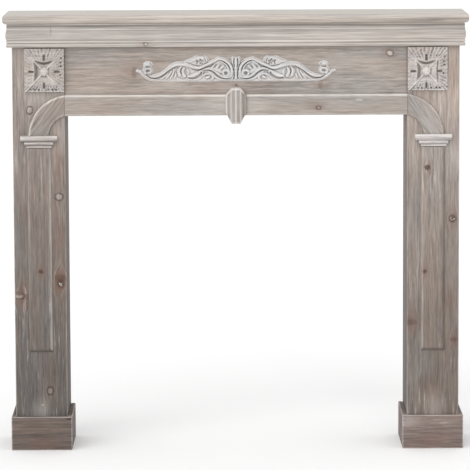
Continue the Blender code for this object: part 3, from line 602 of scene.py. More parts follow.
for seed, (side, (tone, chalk, painted_shade)) in enumerate(CAPITAL_LOOKS.items()):
    node = f"capital_{side}"
    low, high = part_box(node)
    rows = [(NECK_IN, 0.0, 0.5, 0.0), (NECK_IN, 0.8 * NECK_TALL, 0.8, 0.0), (NECK_IN, NECK_TALL, 0.0, 1.0)]
    rows += rounded_step(STEP_IN, NECK_TALL, NECK_TALL + STEP_TALL, STEP_ROUND, TOP_ROUNDING)
    rows += rounded_step(0.0, NECK_TALL + STEP_TALL, high.z - low.z, ABACUS_ROUND, TOP_ROUNDING)
    rings = []
    for inset, height, _, _ in rows:
        front, z = low.y + inset * CAPITAL_RAKE, low.z + height
        rings.append([(low.x + inset, front, z), (high.x - inset, front, z), (high.x - inset, high.y, z),
                      (low.x + inset, high.y, z)])
    capital = skin(f"{side}_capital", rings, arris=np.array([[row[2]] for row in rows]),
                   hollow=np.array([[painted_shade * row[3]] for row in rows]))
    dress(capital, node, "carving_wood", "level", 17.3 + seed, tone=tone, painted=True, arris=chalk,
          lime=CAPITAL_LIME)


# Shaft panels: a long flat strip planted on each leg under the capital, its edges planed to a slope.
# Lime was rubbed along the edge nearer the opening, and the lower and far slopes are darkened as painted
# shadow, the far one most on the right panel.
PANEL_SLOPE = 0.0045
PANEL_EDGE = 0.0012
FAR_SHADOW = {"left": 0.10, "right": 0.50}
FOOT_SHADOW = 0.62
PANEL_SPOTS = {"left": [("dark", -0.4660, 0.4310, 0.0055)],
               "right": [("dark", 0.4527, 0.6767, 0.0070), ("dark", 0.4470, 0.4276, 0.0054)]}

for seed, side in enumerate(("left", "right")):
    node = f"shaft_panel_{side}"
    low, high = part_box(node)
    # Depth, inset, lime on the side by the opening, and painted shadow on the foot and on the far side
    levels = [(high.y, 0.0, 0.3, 0.4), (low.y + PANEL_SLOPE, 0.0, 0.8, 0.6),
              (low.y + PANEL_EDGE, PANEL_SLOPE - PANEL_EDGE, 0.9, 0.9),
              (low.y + 0.3 * PANEL_EDGE, PANEL_SLOPE, 0.5, 0.8),
              (low.y, PANEL_SLOPE + PANEL_EDGE, 0.2, 0.6),
              (low.y, PANEL_SLOPE + PANEL_EDGE + EDGE_FADE, 0.0, 0.0)]
    rings, arris, hollow = [], [], []
    for y, inset, chalk, painted_shade in levels:
        left, right, foot, head = low.x + inset, high.x - inset, low.z + inset, high.z - 0.3 * inset
        turn = foot + PANEL_SLOPE
        rings.append([(left, y, foot), (left, y, turn), (left, y, head), (right, y, head), (right, y, turn),
                      (right, y, foot)])
        far_shadow, foot_shadow = FAR_SHADOW[side] * painted_shade, FOOT_SHADOW * painted_shade
        if side == "left":
            arris.append([0.0, 0.05 * chalk, 0.5 * chalk, 0.72 * chalk, 0.72 * chalk, 0.0])
            hollow.append([foot_shadow, far_shadow, far_shadow, 0.0, 0.0, foot_shadow])
        else:
            arris.append([0.0, 0.55 * chalk ** 2, 0.55 * chalk ** 2, 0.0, 0.0, 0.0])
            hollow.append([foot_shadow, 0.0, 0.0, far_shadow, far_shadow, foot_shadow])
    panel = skin(f"{side}_shaft_panel", rings, arris=arris, hollow=hollow)
    dress(panel, node, "leg_wood", "upright", 19.5 + 5 * seed, tone=LEG_LOOKS[side]["tone"],
          shade=LEG_LOOKS[side]["shade"], spots=PANEL_SPOTS[side], painted=True, arris=0.8,
          pith=(0.0, 0.03, 0.05), spacing=0.007)


# Rosettes: square blocks at the heads of the legs, each carved with a button on a four-pointed star and
# fluted leaves that run out to the edges. The whole block is thickly limed, with dark wax in the cuts.
# Painted shade darkens the star's hollows on the sides turned from the light and a ring round the
# button, most at its lower right.
ROSETTE_STEP = 0.0006
ROSETTE_RELIEF = 0.0080
HAND_TOOLING = 0.6
STAR_POINT = 0.56
DRILLED = ((-0.69, -0.90), (-0.50, -0.89), (-0.28, -0.91), (0.19, -0.90), (0.43, -0.89), (0.61, -0.90),
           (0.85, 0.57), (0.82, 0.36), (0.84, 0.18), (0.80, -0.22))
CARVING_LIME = srgb(212, 208, 203)
# Tone, the button's middle, then the star's reach, the depth of the flutes and the painted shade inside
# the star for the top, right, foot and left
ROSETTE_LOOKS = {
    "left": (srgb(164, 158, 154), (-0.01, -0.07), (0.42, 0.30, 0.47, 0.50), (0.7, 0.6, 0.9, 0.35),
             (0.95, 0.20, 0.20, 0.75)),
    "right": (srgb(174, 168, 165), (-0.06, -0.12), (0.41, 0.53, 0.44, 0.47), (0.9, 0.8, 0.7, 0.4),
              (0.90, 0.65, 0.35, 0.75)),
}


def face_grid(low, high, step):
    """The x and z of a grid over the front of a box."""
    columns, rows = round((high.x - low.x) / step), round((high.z - low.z) / step)
    return np.meshgrid(np.linspace(low.x, high.x, columns + 1), np.linspace(low.z, high.z, rows + 1))


def carved_slab(name, u, v, front, cells, back, masks):
    """A carved slab: a grid at its front depths, walled round its outline and flat behind."""
    used = np.zeros(u.shape, dtype=bool)
    for down in (0, 1):
        for right in (0, 1):
            used[down:u.shape[0] - 1 + down, right:u.shape[1] - 1 + right] |= cells
    number = np.full(u.shape, -1)
    number[used] = np.arange(used.sum())
    i, j = np.nonzero(cells)
    faces = np.stack([number[i, j], number[i, j + 1], number[i + 1, j + 1], number[i + 1, j]], axis=-1)
    mesh = bpy.data.meshes.new(name)
    mesh.from_pydata(np.stack([u[used], front[used], v[used]], axis=-1).tolist(), [], faces.tolist())
    for label, values in masks.items():
        layer = mesh.attributes.new(label, "FLOAT", "POINT")
        layer.data.foreach_set("value", values[used].astype(np.float32))
    bm = bmesh.new()
    bm.from_mesh(mesh)
    rim = [edge for edge in bm.edges if edge.is_boundary]
    for _ in range(4):
        nearby = {}
        for edge in rim:
            first, second = edge.verts
            nearby.setdefault(first, []).append(second.co.copy())
            nearby.setdefault(second, []).append(first.co.copy())
        for vert, near in nearby.items():
            vert.co = (vert.co + (near[0] + near[1]) / 2) / 2
    # The walls are made in the rim's order, so that the mesh is the same each run
    behind = {}
    for edge in rim:
        for vert in edge.verts:
            if vert not in behind:
                behind[vert] = bm.verts.new((vert.co.x, back, vert.co.z), vert)
    for edge in rim:
        corner = edge.link_loops[0]
        first, second = corner.vert, corner.link_loop_next.vert
        bm.faces.new((second, first, behind[first], behind[second]))
    bmesh.ops.holes_fill(bm, edges=[edge for edge in bm.edges if edge.is_boundary], sides=0)
    bmesh.ops.triangulate(bm, faces=[face for face in bm.faces if len(face.verts) > 4])
    bm.to_mesh(mesh)
    bm.free()
    return finish_mesh(name, mesh, crease=60)


def soften(field, reach):
    """A field averaged over a square of cells, by running sums."""
    padded = np.pad(field, reach + 1, mode="edge")
    total = padded.cumsum(axis=0).cumsum(axis=1)
    size = 2 * reach + 1
    rows, columns = field.shape
    whole = total[size:size + rows, size:size + columns] - total[:rows, size:size + columns]
    return (whole - total[size:size + rows, :columns] + total[:rows, :columns]) / size ** 2


def carved_masks(height, reach, hollow_gain, arris_gain):
    """Masks for a carved face: hollows, which lie below their surroundings, get dark glaze and painted shade;
    arrises, which stand above them, get lime.
    """
    relief = height - soften(height, reach)
    return {"hollow": np.clip(-relief * hollow_gain, 0, 1), "arris": np.clip(relief * arris_gain, 0, 1),
            "scuff": np.zeros_like(height)}


def rosette_face(x, z, middle, reaches, fluting, star_shade):
    """Height, dark cuts with their painted shade, lime and flutes over the rosette's face, which runs from -1
    to 1 each way. The star's reach, the depth of the flutes and the painted shade inside the star are
    given for its top, right, foot and left."""
    block_z, drilled = z, np.zeros_like(x)
    for dot_x, dot_z in DRILLED:
        drilled = np.maximum(drilled, np.exp(-((x - dot_x) / 0.045) ** 2 - ((z - dot_z) / 0.036) ** 2))
    x, z = x - middle[0], z - middle[1]
    across = np.abs(x) > np.abs(z)
    sides = np.select([~across & (z > 0), across & (x > 0), ~across], [0, 1, 2], 3)
    radius, edge = np.hypot(x, z), np.maximum(np.abs(x), np.abs(z))
    off_axis = np.minimum(np.abs(x), np.abs(z))
    lean = off_axis / np.maximum(edge, 1e-6)
    reach = np.array(reaches)[sides]
    out = edge / (reach + (STAR_POINT - reach) * lean ** 2)
    button = 0.95 * np.sqrt(np.clip(1 - (radius / 0.21) ** 2, 0, None))
    bowl = 0.34 + 0.42 * np.clip((out - 0.35) / 0.65, 0, 1) ** 1.5
    uneven = 0.9 * np.sin(7 * x + 3 * z) + 0.8 * np.sin(11 * z - 5 * x)
    flutes = 0.5 - 0.5 * np.cos(10 * math.pi * lean + uneven * (1 - lean) * (lean > 0.08))
    flutes *= np.array(fluting)[sides] * np.clip((out - 1.08) / 0.3, 0, 1)
    flutes *= 0.75 + 0.25 * np.sin(13 * x - 9 * z)
    leaf = 0.78 - 0.30 * np.clip((edge - 0.45) / 0.55, 0, 1) - 0.36 * flutes
    diagonal = np.abs(np.abs(x) - np.abs(z))
    ridge = np.clip(1 - (diagonal / 0.09) ** 2, 0, 1) * np.clip((1.06 - out) / 0.1, 0, 1) * (radius > 0.2)
    to_corner = (x < 0) & (z < 0) & (radius > 0.6)
    arm = np.clip(1 - (diagonal / 0.06) ** 2, 0, 1) * to_corner
    height = np.max([button, np.where(out < 1, bowl, leaf), 0.84 * ridge, 0.84 * arm], axis=0)
    # Painted shadow: a ring cut round the button, darker at its lower right
    moat_and_shadow = 0.45 * np.clip(1 - np.abs(radius - 0.245) / 0.05, 0, 1) * (1 - ridge) * np.where(x > z, 1.0, 0.4)
    # Painted shade inside the star, by side, strongest on the sides turned from the light
    at, wide = np.array([0.90, 1.03, 1.02, 0.74])[sides], np.array([0.20, 0.10, 0.07, 0.25])[sides]
    crescent = np.array(star_shade)[sides] * np.clip(1 - ((out - at) / wide) ** 2, 0, 1) * (1 - lean ** 4)
    slot = np.clip(1.5 - off_axis / 0.042, 0, 1) * np.clip(1 - (np.abs(edge - 0.65) / 0.17) ** 4, 0, 1)
    groove = np.clip(1 - np.abs(np.abs(z) - np.abs(x) - 0.10) / 0.04, 0, 1) * to_corner
    cuts = np.max([crescent, 1.0 * slot, 0.85 * drilled, 0.5 * groove, moat_and_shadow], axis=0)
    rim = 0.5 * np.clip(1 - np.abs(out - 1.03) / 0.06, 0, 1) * (sides != 1)
    lime = np.max([0.7 * ridge, 0.7 * arm, rim, 0.6 * (radius < 0.19), 0.9 * (block_z < -0.955)], axis=0)
    return height - 0.5 * cuts, cuts, lime, flutes


for seed, (side, look) in enumerate(ROSETTE_LOOKS.items()):
    node = f"rosette_block_{side}"
    low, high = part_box(node)
    x, z = face_grid(low, high, ROSETTE_STEP)
    middle_x, middle_z = (low.x + high.x) / 2, (low.z + high.z) / 2
    face_x, face_z = 2 * (x - middle_x) / (high.x - low.x), 2 * (z - middle_z) / (high.z - low.z)
    height, cuts, lime, flutes = rosette_face(face_x, face_z, *look[1:])
    tooled = soften(np.random.default_rng(51 + seed).normal(size=height.shape), 2)
    height = soften(np.clip(height + HAND_TOOLING * tooled * (0.4 + flutes), 0, 1), 1)
    front = low.y + ROSETTE_RELIEF * (1 - height)
    cells = np.ones((len(x) - 1, len(x[0]) - 1), dtype=bool)
    masks = carved_masks(height, 4, 1.6, 2.0)
    masks["hollow"] = np.clip(masks["hollow"] + 0.95 * soften(cuts, 1) + 0.30 * flutes, 0, 0.90)
    masks["arris"] = np.clip(masks["arris"] + soften(lime, 1), 0, 1)
    rosette = carved_slab(f"{side}_rosette", x, z, front, cells, high.y, masks)
    dress(rosette, node, "carving_wood", "level", 23.8 + seed, tone=look[0], painted=True, arris=0.75,
          contrast=0.7, lime=CARVING_LIME)


# Keystone: a block with clipped corners over the middle of the rail, crowned across its face, with four
# stopped flutes cut down it. Lime is thick on it and spread on the boards round it. Its right flank,
# turned from the light, is darkened as painted shade and kept free of lime.
KEYSTONE_STEP = 0.0005
CROWN_HALF = 0.0105
TOP_CUT = 0.017
FOOT_CUT = 0.026
KEYSTONE_EDGE = 0.006
KEYSTONE_CROWN = 0.0135
FLUTE_PITCH = 0.0115
FLUTE_DEPTH = 0.0032
FLUTE_STOPS = (0.0050, 0.0020)
FLUTE_RUNOUT = 0.004
KEYSTONE_EASING = 0.002
KEYSTONE_TONE = srgb(178, 170, 164)

low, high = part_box("keystone")
half = (high.x - low.x) / 2
x, z = face_grid(low, high, KEYSTONE_STEP)
flank = np.clip((np.abs(x) - CROWN_HALF) / (half - CROWN_HALF), 0, 1)
top_line, foot_line = high.z - TOP_CUT * flank, low.z + FOOT_CUT * flank
reach = np.minimum(top_line - z, z - foot_line)
body = KEYSTONE_EDGE + (KEYSTONE_CROWN - KEYSTONE_EDGE) * (1 - (x / half) ** 2)
phase = x / FLUTE_PITCH
inside_stops = np.minimum(top_line - FLUTE_STOPS[0] - z, z - foot_line - FLUTE_STOPS[1])
stop = np.clip(inside_stops / FLUTE_RUNOUT, 0, 1)
flute = np.abs(np.sin(math.pi * phase)) * (np.abs(phase) < 2) * np.sqrt(stop)
depth = body - FLUTE_DEPTH * flute - KEYSTONE_EASING * np.clip(1 - reach / KEYSTONE_EASING, 0, 1) ** 2
front = low.y + KEYSTONE_CROWN - depth
cells = (reach[:-1, :-1] + reach[1:, :-1] + reach[:-1, 1:] + reach[1:, 1:]) / 4 > 0
masks = carved_masks(-flute, 5, 0.8, 1.0)
# Painted shade on the right flank, which is also kept free of lime below
shaded = 0.5 * np.clip((x / half - 0.62) / 0.3, 0, 1)
masks["hollow"] = np.clip(masks["hollow"] + 0.36 * flute ** 2 + shaded, 0, 0.7)
masks["arris"] = np.clip(masks["arris"] + 0.6 * (1 - flute) ** 3, 0, 1)
masks["arris"] *= np.clip((0.8 - x / half) / 0.2, 0, 1)
keystone = carved_slab("fluted_keystone", x, z, front, cells, high.y, masks)
dress(keystone, "keystone", "carving_wood", "upright", 27.1, tone=KEYSTONE_TONE, painted=True, arris=0.6,
      contrast=0.7, lime=CARVING_LIME)


# Scroll carving: one piece glued on the frieze, a stem that rises from a curl at each end over a crest
# leaf to open scrolls and a palmette in the middle. It is the whitest part, waxed dark in its cuts, with
# painted shade there as well.
SCROLL_LIME = srgb(228, 227, 226)
SCROLL_TONE = srgb(187, 186, 185)
SCROLL_STEP = 0.0006
FEATHERED = 0.25
FEATHER_REACH = 3
SCROLL_PLATE = 0.003
SCROLL_RELIEF = 0.0085
DRAWN_WIDTH = 470.0
DRAWN_HEIGHT = 63.0
DRAWN_MARGIN = 2.0
CUT_WAX_AND_SHADE = 0.72
MOST_WAX_AND_SHADE = 0.76
EDGE_LIME = 0.35
HALO_LIME = 0.12
HALO_REACH = 0.012
FACE_DEPTH = 0.001


def smooth_path(points, steps=14):
    """A smooth curve through a few points, as Catmull-Rom spans."""
    pts = np.array([points[0], *points, points[-1]], dtype=float)
    t = np.linspace(0, 1, steps, endpoint=False)[:, None]
    spans = []
    for p0, p1, p2, p3 in zip(pts, pts[1:], pts[2:], pts[3:]):
        a = 2 * p1 + (p2 - p0) * t
        b = (2 * p0 - 5 * p1 + 4 * p2 - p3) * t ** 2
        c = (3 * p1 - p0 - 3 * p2 + p3) * t ** 3
        spans.append((a + b + c) / 2)
    return np.vstack([*spans, pts[-1:]])


def curl(centre, radii, start_deg, turn_deg, flat=1.0, steps=40):
    """A spiral that winds from one radius to another, flattened from top to bottom."""
    t = np.linspace(0, 1, steps)
    angle = np.radians(start_deg + turn_deg * t)
    r = radii[0] + (radii[1] - radii[0]) * t
    return np.stack([centre[0] + r * np.cos(angle), centre[1] + flat * r * np.sin(angle)], axis=1)


def tapered(path, start, middle, end):
    """Half widths along a path, from three values by a parabola."""
    t = np.linspace(0, 1, len(path))
    return start * (1 - t) * (1 - 2 * t) + 4 * middle * t * (1 - t) + end * t * (2 * t - 1)


# Raised strokes of the left half on its drawn sheet: points, half widths at start, middle and end, height
RIDGES = [
    ([(-203, -21), (-188, -19), (-175, -14), (-162, -4), (-151, 6), (-140, 11), (-127, 11.5), (-113, 9),
      (-99, 4)], (3.6, 5.4, 5), 0.85),
    ([(-113, 9), (-99, 4), (-86, 2), (-74, 8), (-60, 15), (-41, 26)], (5, 4.6, 3.2), 0.90),
    (curl((-208, -5), (9, 6), 230, -320, 0.85), (4.2, 4.0, 3.0), 0.85),
    ([(-213, 12), (-204, 12)], (4.6, 6.0, 4.6), 0.62),
    ([(-216, 3), (-214, 9)], (1.6, 2.4, 2.0), 0.40),
    ([(-120, 14), (-108, 19), (-97, 24), (-86, 27.5), (-77, 27), (-71, 22), (-76, 16)],
     (4.5, 6.4, 3.0), 0.85),
    ([(-112, 12), (-97, 15), (-84, 12)], (4.5, 5.6, 4), 0.65),
    ([(-41, 26), (-28, 22), (-18, 15), (-11, 5), (-9, -7), (-11, -18), (-17, -24)], (3.2, 4.2, 3.4), 0.90),
    (curl((-24, -11), (9, 6), 250, 330), (4, 4.2, 3.4), 0.85),
    ([(-86, -7), (-78, -1), (-66, 1), (-54, -3), (-45, -11), (-36, -18), (-26, -23), (-16, -23)],
     (3, 4, 3.4), 0.88),
    ([(-58, 2), (-51, 12)], (3.0, 3.4, 2.8), 0.62),
    ([(-47, 1), (-40, 10)], (3.0, 3.4, 2.8), 0.62),
    ([(-36, 0), (-29, 8)], (3.0, 3.4, 2.8), 0.62),
    ([(-52, -1), (-42, -4), (-35, -9)], (4, 5, 3.5), 0.60),
    ([(-77, -16), (-68, -13), (-59, -15), (-54, -22), (-58, -28)], (3.4, 3.2, 3), 0.70),
    ([(-69, -23), (-64, -20)], (3.2, 3.6, 3.2), 0.90),
    ([(-64, -8), (-54, -14), (-47, -22), (-38, -27), (-19, -29)], (3, 3.2, 2.6), 0.55),
    ([(-81, -6), (-90, -11), (-101, -17), (-112, -19)], (3.4, 5.6, 3.6), 0.85),
    ([(-78, -7), (-79, -17), (-87, -25), (-101, -28.5), (-112, -27)], (2.0, 2.4, 2.0), 0.50),
    ([(-130, 4), (-135, -6), (-133, -17)], (3.2, 4.6, 4.2), 0.75),
    ([(-123, 2), (-126, -9), (-121, -20)], (3.0, 4.2, 4.0), 0.72),
    ([(-115, -2), (-112, -9), (-115, -14)], (3.0, 3.4, 2.6), 0.50),
    ([(-178, -26), (-169, -20), (-161, -13)], (2.0, 2.8, 2.4), 0.60),
    ([(-167, -26), (-159, -17), (-153, -7)], (2.0, 2.8, 2.4), 0.62),
    ([(-156, -26), (-150, -15), (-146, -2)], (2.0, 2.8, 2.4), 0.62),
    ([(-146, -26), (-142, -13), (-140, 1)], (2.0, 2.8, 2.4), 0.62),
    ([(-234, -5), (-226, -8), (-220, -14), (-212, -21), (-202, -26), (-190, -28.5), (-178, -29)],
     (1.6, 3.2, 2.2), 0.65),
    ([(-34, 18), (-26, 13.5), (-20, 6.5), (-17, -3)], (2.2, 2.8, 2.2), 0.78),
    ([(-178, -29), (-113, -29), (-61, -29), (0, -29)], (2.2, 2.2, 2.2), 0.22),
    ([(0, -2), (0, 12), (0, 24)], (3, 6.2, 4.5), 1.0),
    ([(0, -5), (0, -15), (0, -25)], (4.5, 4.5, 3.5), 0.75),
    ([(-7, 27), (-8, 16), (-4, 2)], (2.4, 2.8, 2.2), 0.70),
    ([(-9, -26), (-5, -18)], (2.6, 2.8, 2.4), 0.60),
]
# Cut lines: points, half width, depth
GROOVES = [
    ([(-211, -15), (-206, -20.5), (-199, -23.5), (-189, -24), (-178, -20), (-169, -13.5), (-159, -5),
      (-149, 1.5), (-140, 6)], 1.8, 0.75),
    ([(-106, 0), (-94, -3.5), (-84, -2), (-73, 3), (-62, 6.5), (-53, 12)], 1.8, 0.70),
    ([(-118, 17), (-108, 14), (-99, 9)], 1.4, 0.30),
    ([(-94, 23), (-91, 18), (-93, 13)], 1.5, 0.50),
    ([(-85, 25.5), (-81, 19), (-85, 13)], 1.7, 0.60),
    ([(-76, 27.5), (-72, 22), (-74, 17)], 1.4, 0.40),
    ([(-136, 6), (-141, -3), (-141, -12)], 1.6, 0.50),
    ([(-128, 4), (-131, -5), (-129, -13)], 1.5, 0.50),
    ([(-119, 1), (-120, -7), (-117, -13)], 1.4, 0.45),
    ([(-139, -20), (-132, -24.5), (-124, -25), (-117, -22)], 1.8, 0.60),
    ([(-112, -24), (-102, -25), (-92, -21.5), (-84, -14.5), (-82, -9)], 2.2, 0.70),
    ([(-60, 5), (-54, 12)], 1.6, 0.60),
    ([(-51, 4), (-45, 12)], 1.6, 0.60),
    ([(-39, 3.5), (-35, 11)], 1.6, 0.60),
    ([(-77, -13), (-72, -6), (-62, -4), (-53, -9), (-44, -18), (-34, -24), (-22, -26), (-14, -24)],
     1.8, 0.60),
    ([(-20, 22), (-12, 15), (-7, 6), (-6, -4)], 1.6, 0.50),
    ([(-26, -11), (-22, -12)], 2.6, 0.70),
    ([(-37, 22), (-28, 17.5), (-20, 10), (-15.5, 1)], 1.4, 0.50),
    ([(-203, 16), (-200, 9)], 1.5, 0.50),
    ([(-214, 5), (-206, 4.5)], 1.4, 0.45),
    ([(-3.6, 26), (-4.4, 15), (-3, 4)], 1.3, 0.60),
    ([(-12, 26), (-10, 17)], 1.3, 0.45),
    ([(-4.6, -6), (-3.6, -16), (-6, -27)], 1.3, 0.55),
]


def carve(field, x, z, path, widths, margin, measure):
    """Raises a field over the window that a stroke reaches."""
    pad = max(widths) + margin
    low, high = path.min(axis=0) - pad, path.max(axis=0) + pad
    columns = slice(*np.searchsorted(x[0], (low[0], high[0])))
    rows = slice(*np.searchsorted(z[:, 0], (low[1], high[1])))
    window = field[rows, columns]
    for (px, pz), w in zip(path, widths):
        np.maximum(window, measure(np.hypot(x[rows, columns] - px, z[rows, columns] - pz), w), out=window)


def round_back(distance, width):
    return np.sqrt(np.clip(1 - (distance / width) ** 2, 0, None))


def strokes(drawn):
    """Each stroke's path, half widths and share, with its mirror image across the middle line."""
    flip = np.array([-1, 1])
    for points, widths, share in drawn:
        path = smooth_path(points) if isinstance(points, list) else points
        if not isinstance(widths, tuple):
            widths = (0.7 * widths, widths, 0.7 * widths)
        spread = tapered(path, *widths)
        yield path, spread, share
        yield path * flip, spread, share


def fill_holes(cells):
    """The cells with every hole that the outside can't reach filled in."""
    outside = np.zeros(cells.shape, dtype=bool)
    outside[0, :] = outside[-1, :] = outside[:, 0] = outside[:, -1] = True
    outside &= ~cells
    count = 0
    while count != outside.sum():
        count = outside.sum()
        grown = outside.copy()
        grown[1:] |= outside[:-1]
        grown[:-1] |= outside[1:]
        grown[:, 1:] |= outside[:, :-1]
        grown[:, :-1] |= outside[:, 1:]
        outside = grown & ~cells
    return ~outside


low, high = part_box("scroll_carving")
unit_x = (high.x - low.x) / (DRAWN_WIDTH + 2 * DRAWN_MARGIN)
unit_z = (high.z - low.z) / (DRAWN_HEIGHT + 2 * DRAWN_MARGIN)
middle_z = (high.z + low.z) / 2
columns, rows = round((high.x - low.x) / SCROLL_STEP) + 4, round((high.z - low.z) / SCROLL_STEP) + 4
u, v = np.meshgrid(np.arange(columns + 1) - columns / 2, np.arange(rows + 1) - rows / 2)
u, v = u * SCROLL_STEP, v * SCROLL_STEP
x, z = u / unit_x, v / unit_z
height, reach, cuts = np.zeros_like(x), np.full_like(x, -DRAWN_WIDTH), np.zeros_like(x)
for path, widths, share in strokes(RIDGES):
    ridge = np.zeros_like(x)
    carve(ridge, x, z, path, widths, 0.0, round_back)
    height = np.maximum(height, share * ridge)
    carve(reach, x, z, path, widths, 4.0, lambda distance, width: width - distance)
reach += DRAWN_MARGIN
for path, widths, share in strokes(GROOVES):
    groove = np.zeros_like(x)
    carve(groove, x, z, path, widths, 0.0, round_back)
    height = height - share * groove
    cuts = np.maximum(cuts, share * groove)
height = soften(np.clip(height, 0, 1), 1)
cells = (reach[:-1, :-1] + reach[1:, :-1] + reach[:-1, 1:] + reach[1:, 1:]) / 4 > 0
cells = fill_holes(cells)
# Cells that touch at a corner alone are joined, so that the outline never crosses itself
low_corner = cells[:-1, :-1] & cells[1:, 1:] & ~cells[1:, :-1] & ~cells[:-1, 1:]
high_corner = ~cells[:-1, :-1] & ~cells[1:, 1:] & cells[1:, :-1] & cells[:-1, 1:]
cells[1:, :-1] |= low_corner
cells[:-1, :-1] |= high_corner
solid_share = np.pad(cells.astype(float), ((0, 1), (0, 1)), mode="edge")
plate = SCROLL_PLATE * np.clip(FEATHERED + soften(solid_share, FEATHER_REACH) - 0.5, FEATHERED, 1)
front = high.y - plate - SCROLL_RELIEF * height
masks = carved_masks(height, 3, 2.4, 2.8)
enclosed = np.clip((soften(solid_share, 5) - 0.74) / 0.22, 0, 1)
# The cuts and hollows inside the outline are darkened with wax and painted shade
masks["hollow"] = np.clip(masks["hollow"] * enclosed + CUT_WAX_AND_SHADE * soften(cuts, 1), 0, MOST_WAX_AND_SHADE)
masks["scuff"] = EDGE_LIME * (1 - enclosed)
scroll = carved_slab("scroll", u, v + middle_z, front, cells, high.y, masks)
dress(scroll, "scroll_carving", "carving_wood", "level", 30.4, tone=SCROLL_TONE, painted=True, arris=0.9,
      contrast=0.5, lime=SCROLL_LIME, spots=[("tan", -0.2085, middle_z - 0.004, 0.0060)])

# The lime brushed round the scroll and the keystone spread on to the frieze
places = np.empty(len(frieze.data.vertices) * 3)
frieze.data.vertices.foreach_get("co", places)
places = places.reshape(-1, 3)
inside_x = np.clip(np.round(places[:, 0] / SCROLL_STEP + columns / 2).astype(int), 0, columns)
inside_z = np.clip(np.round((places[:, 2] - middle_z) / SCROLL_STEP + rows / 2).astype(int), 0, rows)
beyond = np.hypot(places[:, 0] - u[inside_z, inside_x], places[:, 2] - middle_z - v[inside_z, inside_x])
distance = np.clip(-reach[inside_z, inside_x] * unit_x, 0, None) + beyond
on_face = places[:, 1] < np.median(places[:, 1]) + FACE_DEPTH
halo = HALO_LIME * np.exp(-(distance / HALO_REACH) ** 2) * on_face
layer = frieze.data.attributes.new("scuff", "FLOAT", "POINT")
layer.data.foreach_set("value", halo.astype(np.float32))


# Cornice: a moulding run round the front and the two ends, mitred at the corners. From below: a bead, a
# fillet, a broad swelling band, a thin fillet and a hollow under the shelf. The fillets hold the lime;
# painted shade darkens the hollow under the shelf, the upper band, the quirks and the foot.
CORNICE_OUT = 0.014
CORNICE_TALL = 0.0517


def cornice_rows():
    """Projection and height shares of the moulding with its arris mask for lime and its hollow mask for
    painted shade, from its foot up.
    """
    rows = [(0.75, 0.0, 0.0, 0.6)]
    rows += [(0.75 + 0.18 * math.cos(a), 0.085 + 0.085 * math.sin(a), 0.45, 0.0)
             for a in np.linspace(-1.5, 1.5, 9)]
    rows += [(0.78, 0.18, 0.0, 0.35), (0.79, 0.195, 0.0, 0.30)]
    rows += [(0.89, 0.21, 0.9, 0.0), (0.90, 0.23, 1.0, 0.0), (0.90, 0.27, 1.0, 0.0), (0.88, 0.285, 0.6, 0.0)]
    rows += [(0.82, 0.305, 0.0, 0.20)]
    rows += [(0.81 + 0.19 * math.cos(a), 0.54 + 0.225 * math.sin(a), 0.22 * max(0, math.cos(1.4 * a + 0.6)),
              0.20 * max(0, math.sin(a)) ** 2) for a in np.linspace(-1.4, 1.4, 17)]
    rows += [(0.83, 0.775, 0.0, 0.30), (0.89, 0.79, 0.8, 0.0), (0.89, 0.81, 1.0, 0.0), (0.88, 0.83, 0.6, 0.0)]
    rows += [(0.82, 0.85, 0.0, 0.12), (0.81, 0.90, 0.0, 0.16), (0.82, 0.94, 0.0, 0.55)]
    return rows + [(0.82, 1.0, 0.0, 0.60)]


CORNICE_TONE = srgb(167, 158, 150)
MITRE_GAP = 0.0003
CORNICE_SPOTS = [("chip", -0.2135, 0.9734, 0.0062), ("haze_and_light", -0.4200, 1.0000, 0.0080),
                 ("joint", -0.4364, 1.0050, 0.0060)]
front_low, front_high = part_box("cornice_front")
rows = cornice_rows()
section = [(CORNICE_OUT * out, CORNICE_TALL * up) for out, up, _, _ in rows]
section = [(MITRE_GAP, 0.0), *section, (MITRE_GAP, CORNICE_TALL)]
arris = [0.0, *[row[2] for row in rows], 0.0]
hollow = [0.5, *[row[3] for row in rows], 0.5]
leg_face = front_low.y + CORNICE_OUT
end = front_high.x - CORNICE_OUT


def mitre(sign, gap_x, gap_y):
    """The moulding's section set on the slant of one corner."""
    return [(sign * (end + out - gap_x), leg_face - out - gap_y, front_low.z + up) for out, up in section]


corners = np.array([mitre(-1, 0.0, 0.0), mitre(1, 0.0, 0.0)])
steps = np.linspace(0, 1, 60)[:, None, None]
moulding = skin("cornice_moulding", corners[0] * (1 - steps) + corners[1] * steps, arris=arris, hollow=hollow)
dress(moulding, "cornice_front", "cornice_wood", "level", 33.3, tone=CORNICE_TONE, painted=True,
      arris=0.55, spots=CORNICE_SPOTS, pith=(0.0, 0.02, 0.05), straight=0.35)
for side, sign in (("left", -1), ("right", 1)):
    node = f"cornice_return_{side}"
    corner = np.array(mitre(sign, MITRE_GAP, -MITRE_GAP))
    at_wall = corner.copy()
    at_wall[:, 1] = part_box(node)[1].y
    steps = np.linspace(0, 1, 12)[:, None, None]
    run = skin(f"{side}_cornice_return", corner * (1 - steps) + at_wall * steps, arris=arris, hollow=hollow)
    dress(run, node, "cornice_wood", "deep", 35.1 + sign, tone=CORNICE_TONE, painted=True, arris=0.5,
          straight=0.35)


# Shelf: one thick board over all, nosed round its front and ends, with a small fillet beneath. Its top
# is limed all over and painted pale as a highlight for the light from above, and the round beneath is
# shaded a little as painted shade.
SHELF_TONE = srgb(173, 165, 157)
TOP_ROUND = 0.005
UNDER_ROUND = 0.008
FILLET_TALL = 0.003
FILLET_BACK = 0.0015
TOP_LIME_AND_LIGHT = 0.76
SHELF_SPOTS = [("haze_and_light", -0.3587, 1.0325, 0.0030), ("joint", -0.5480, 1.0290, 0.0045)]

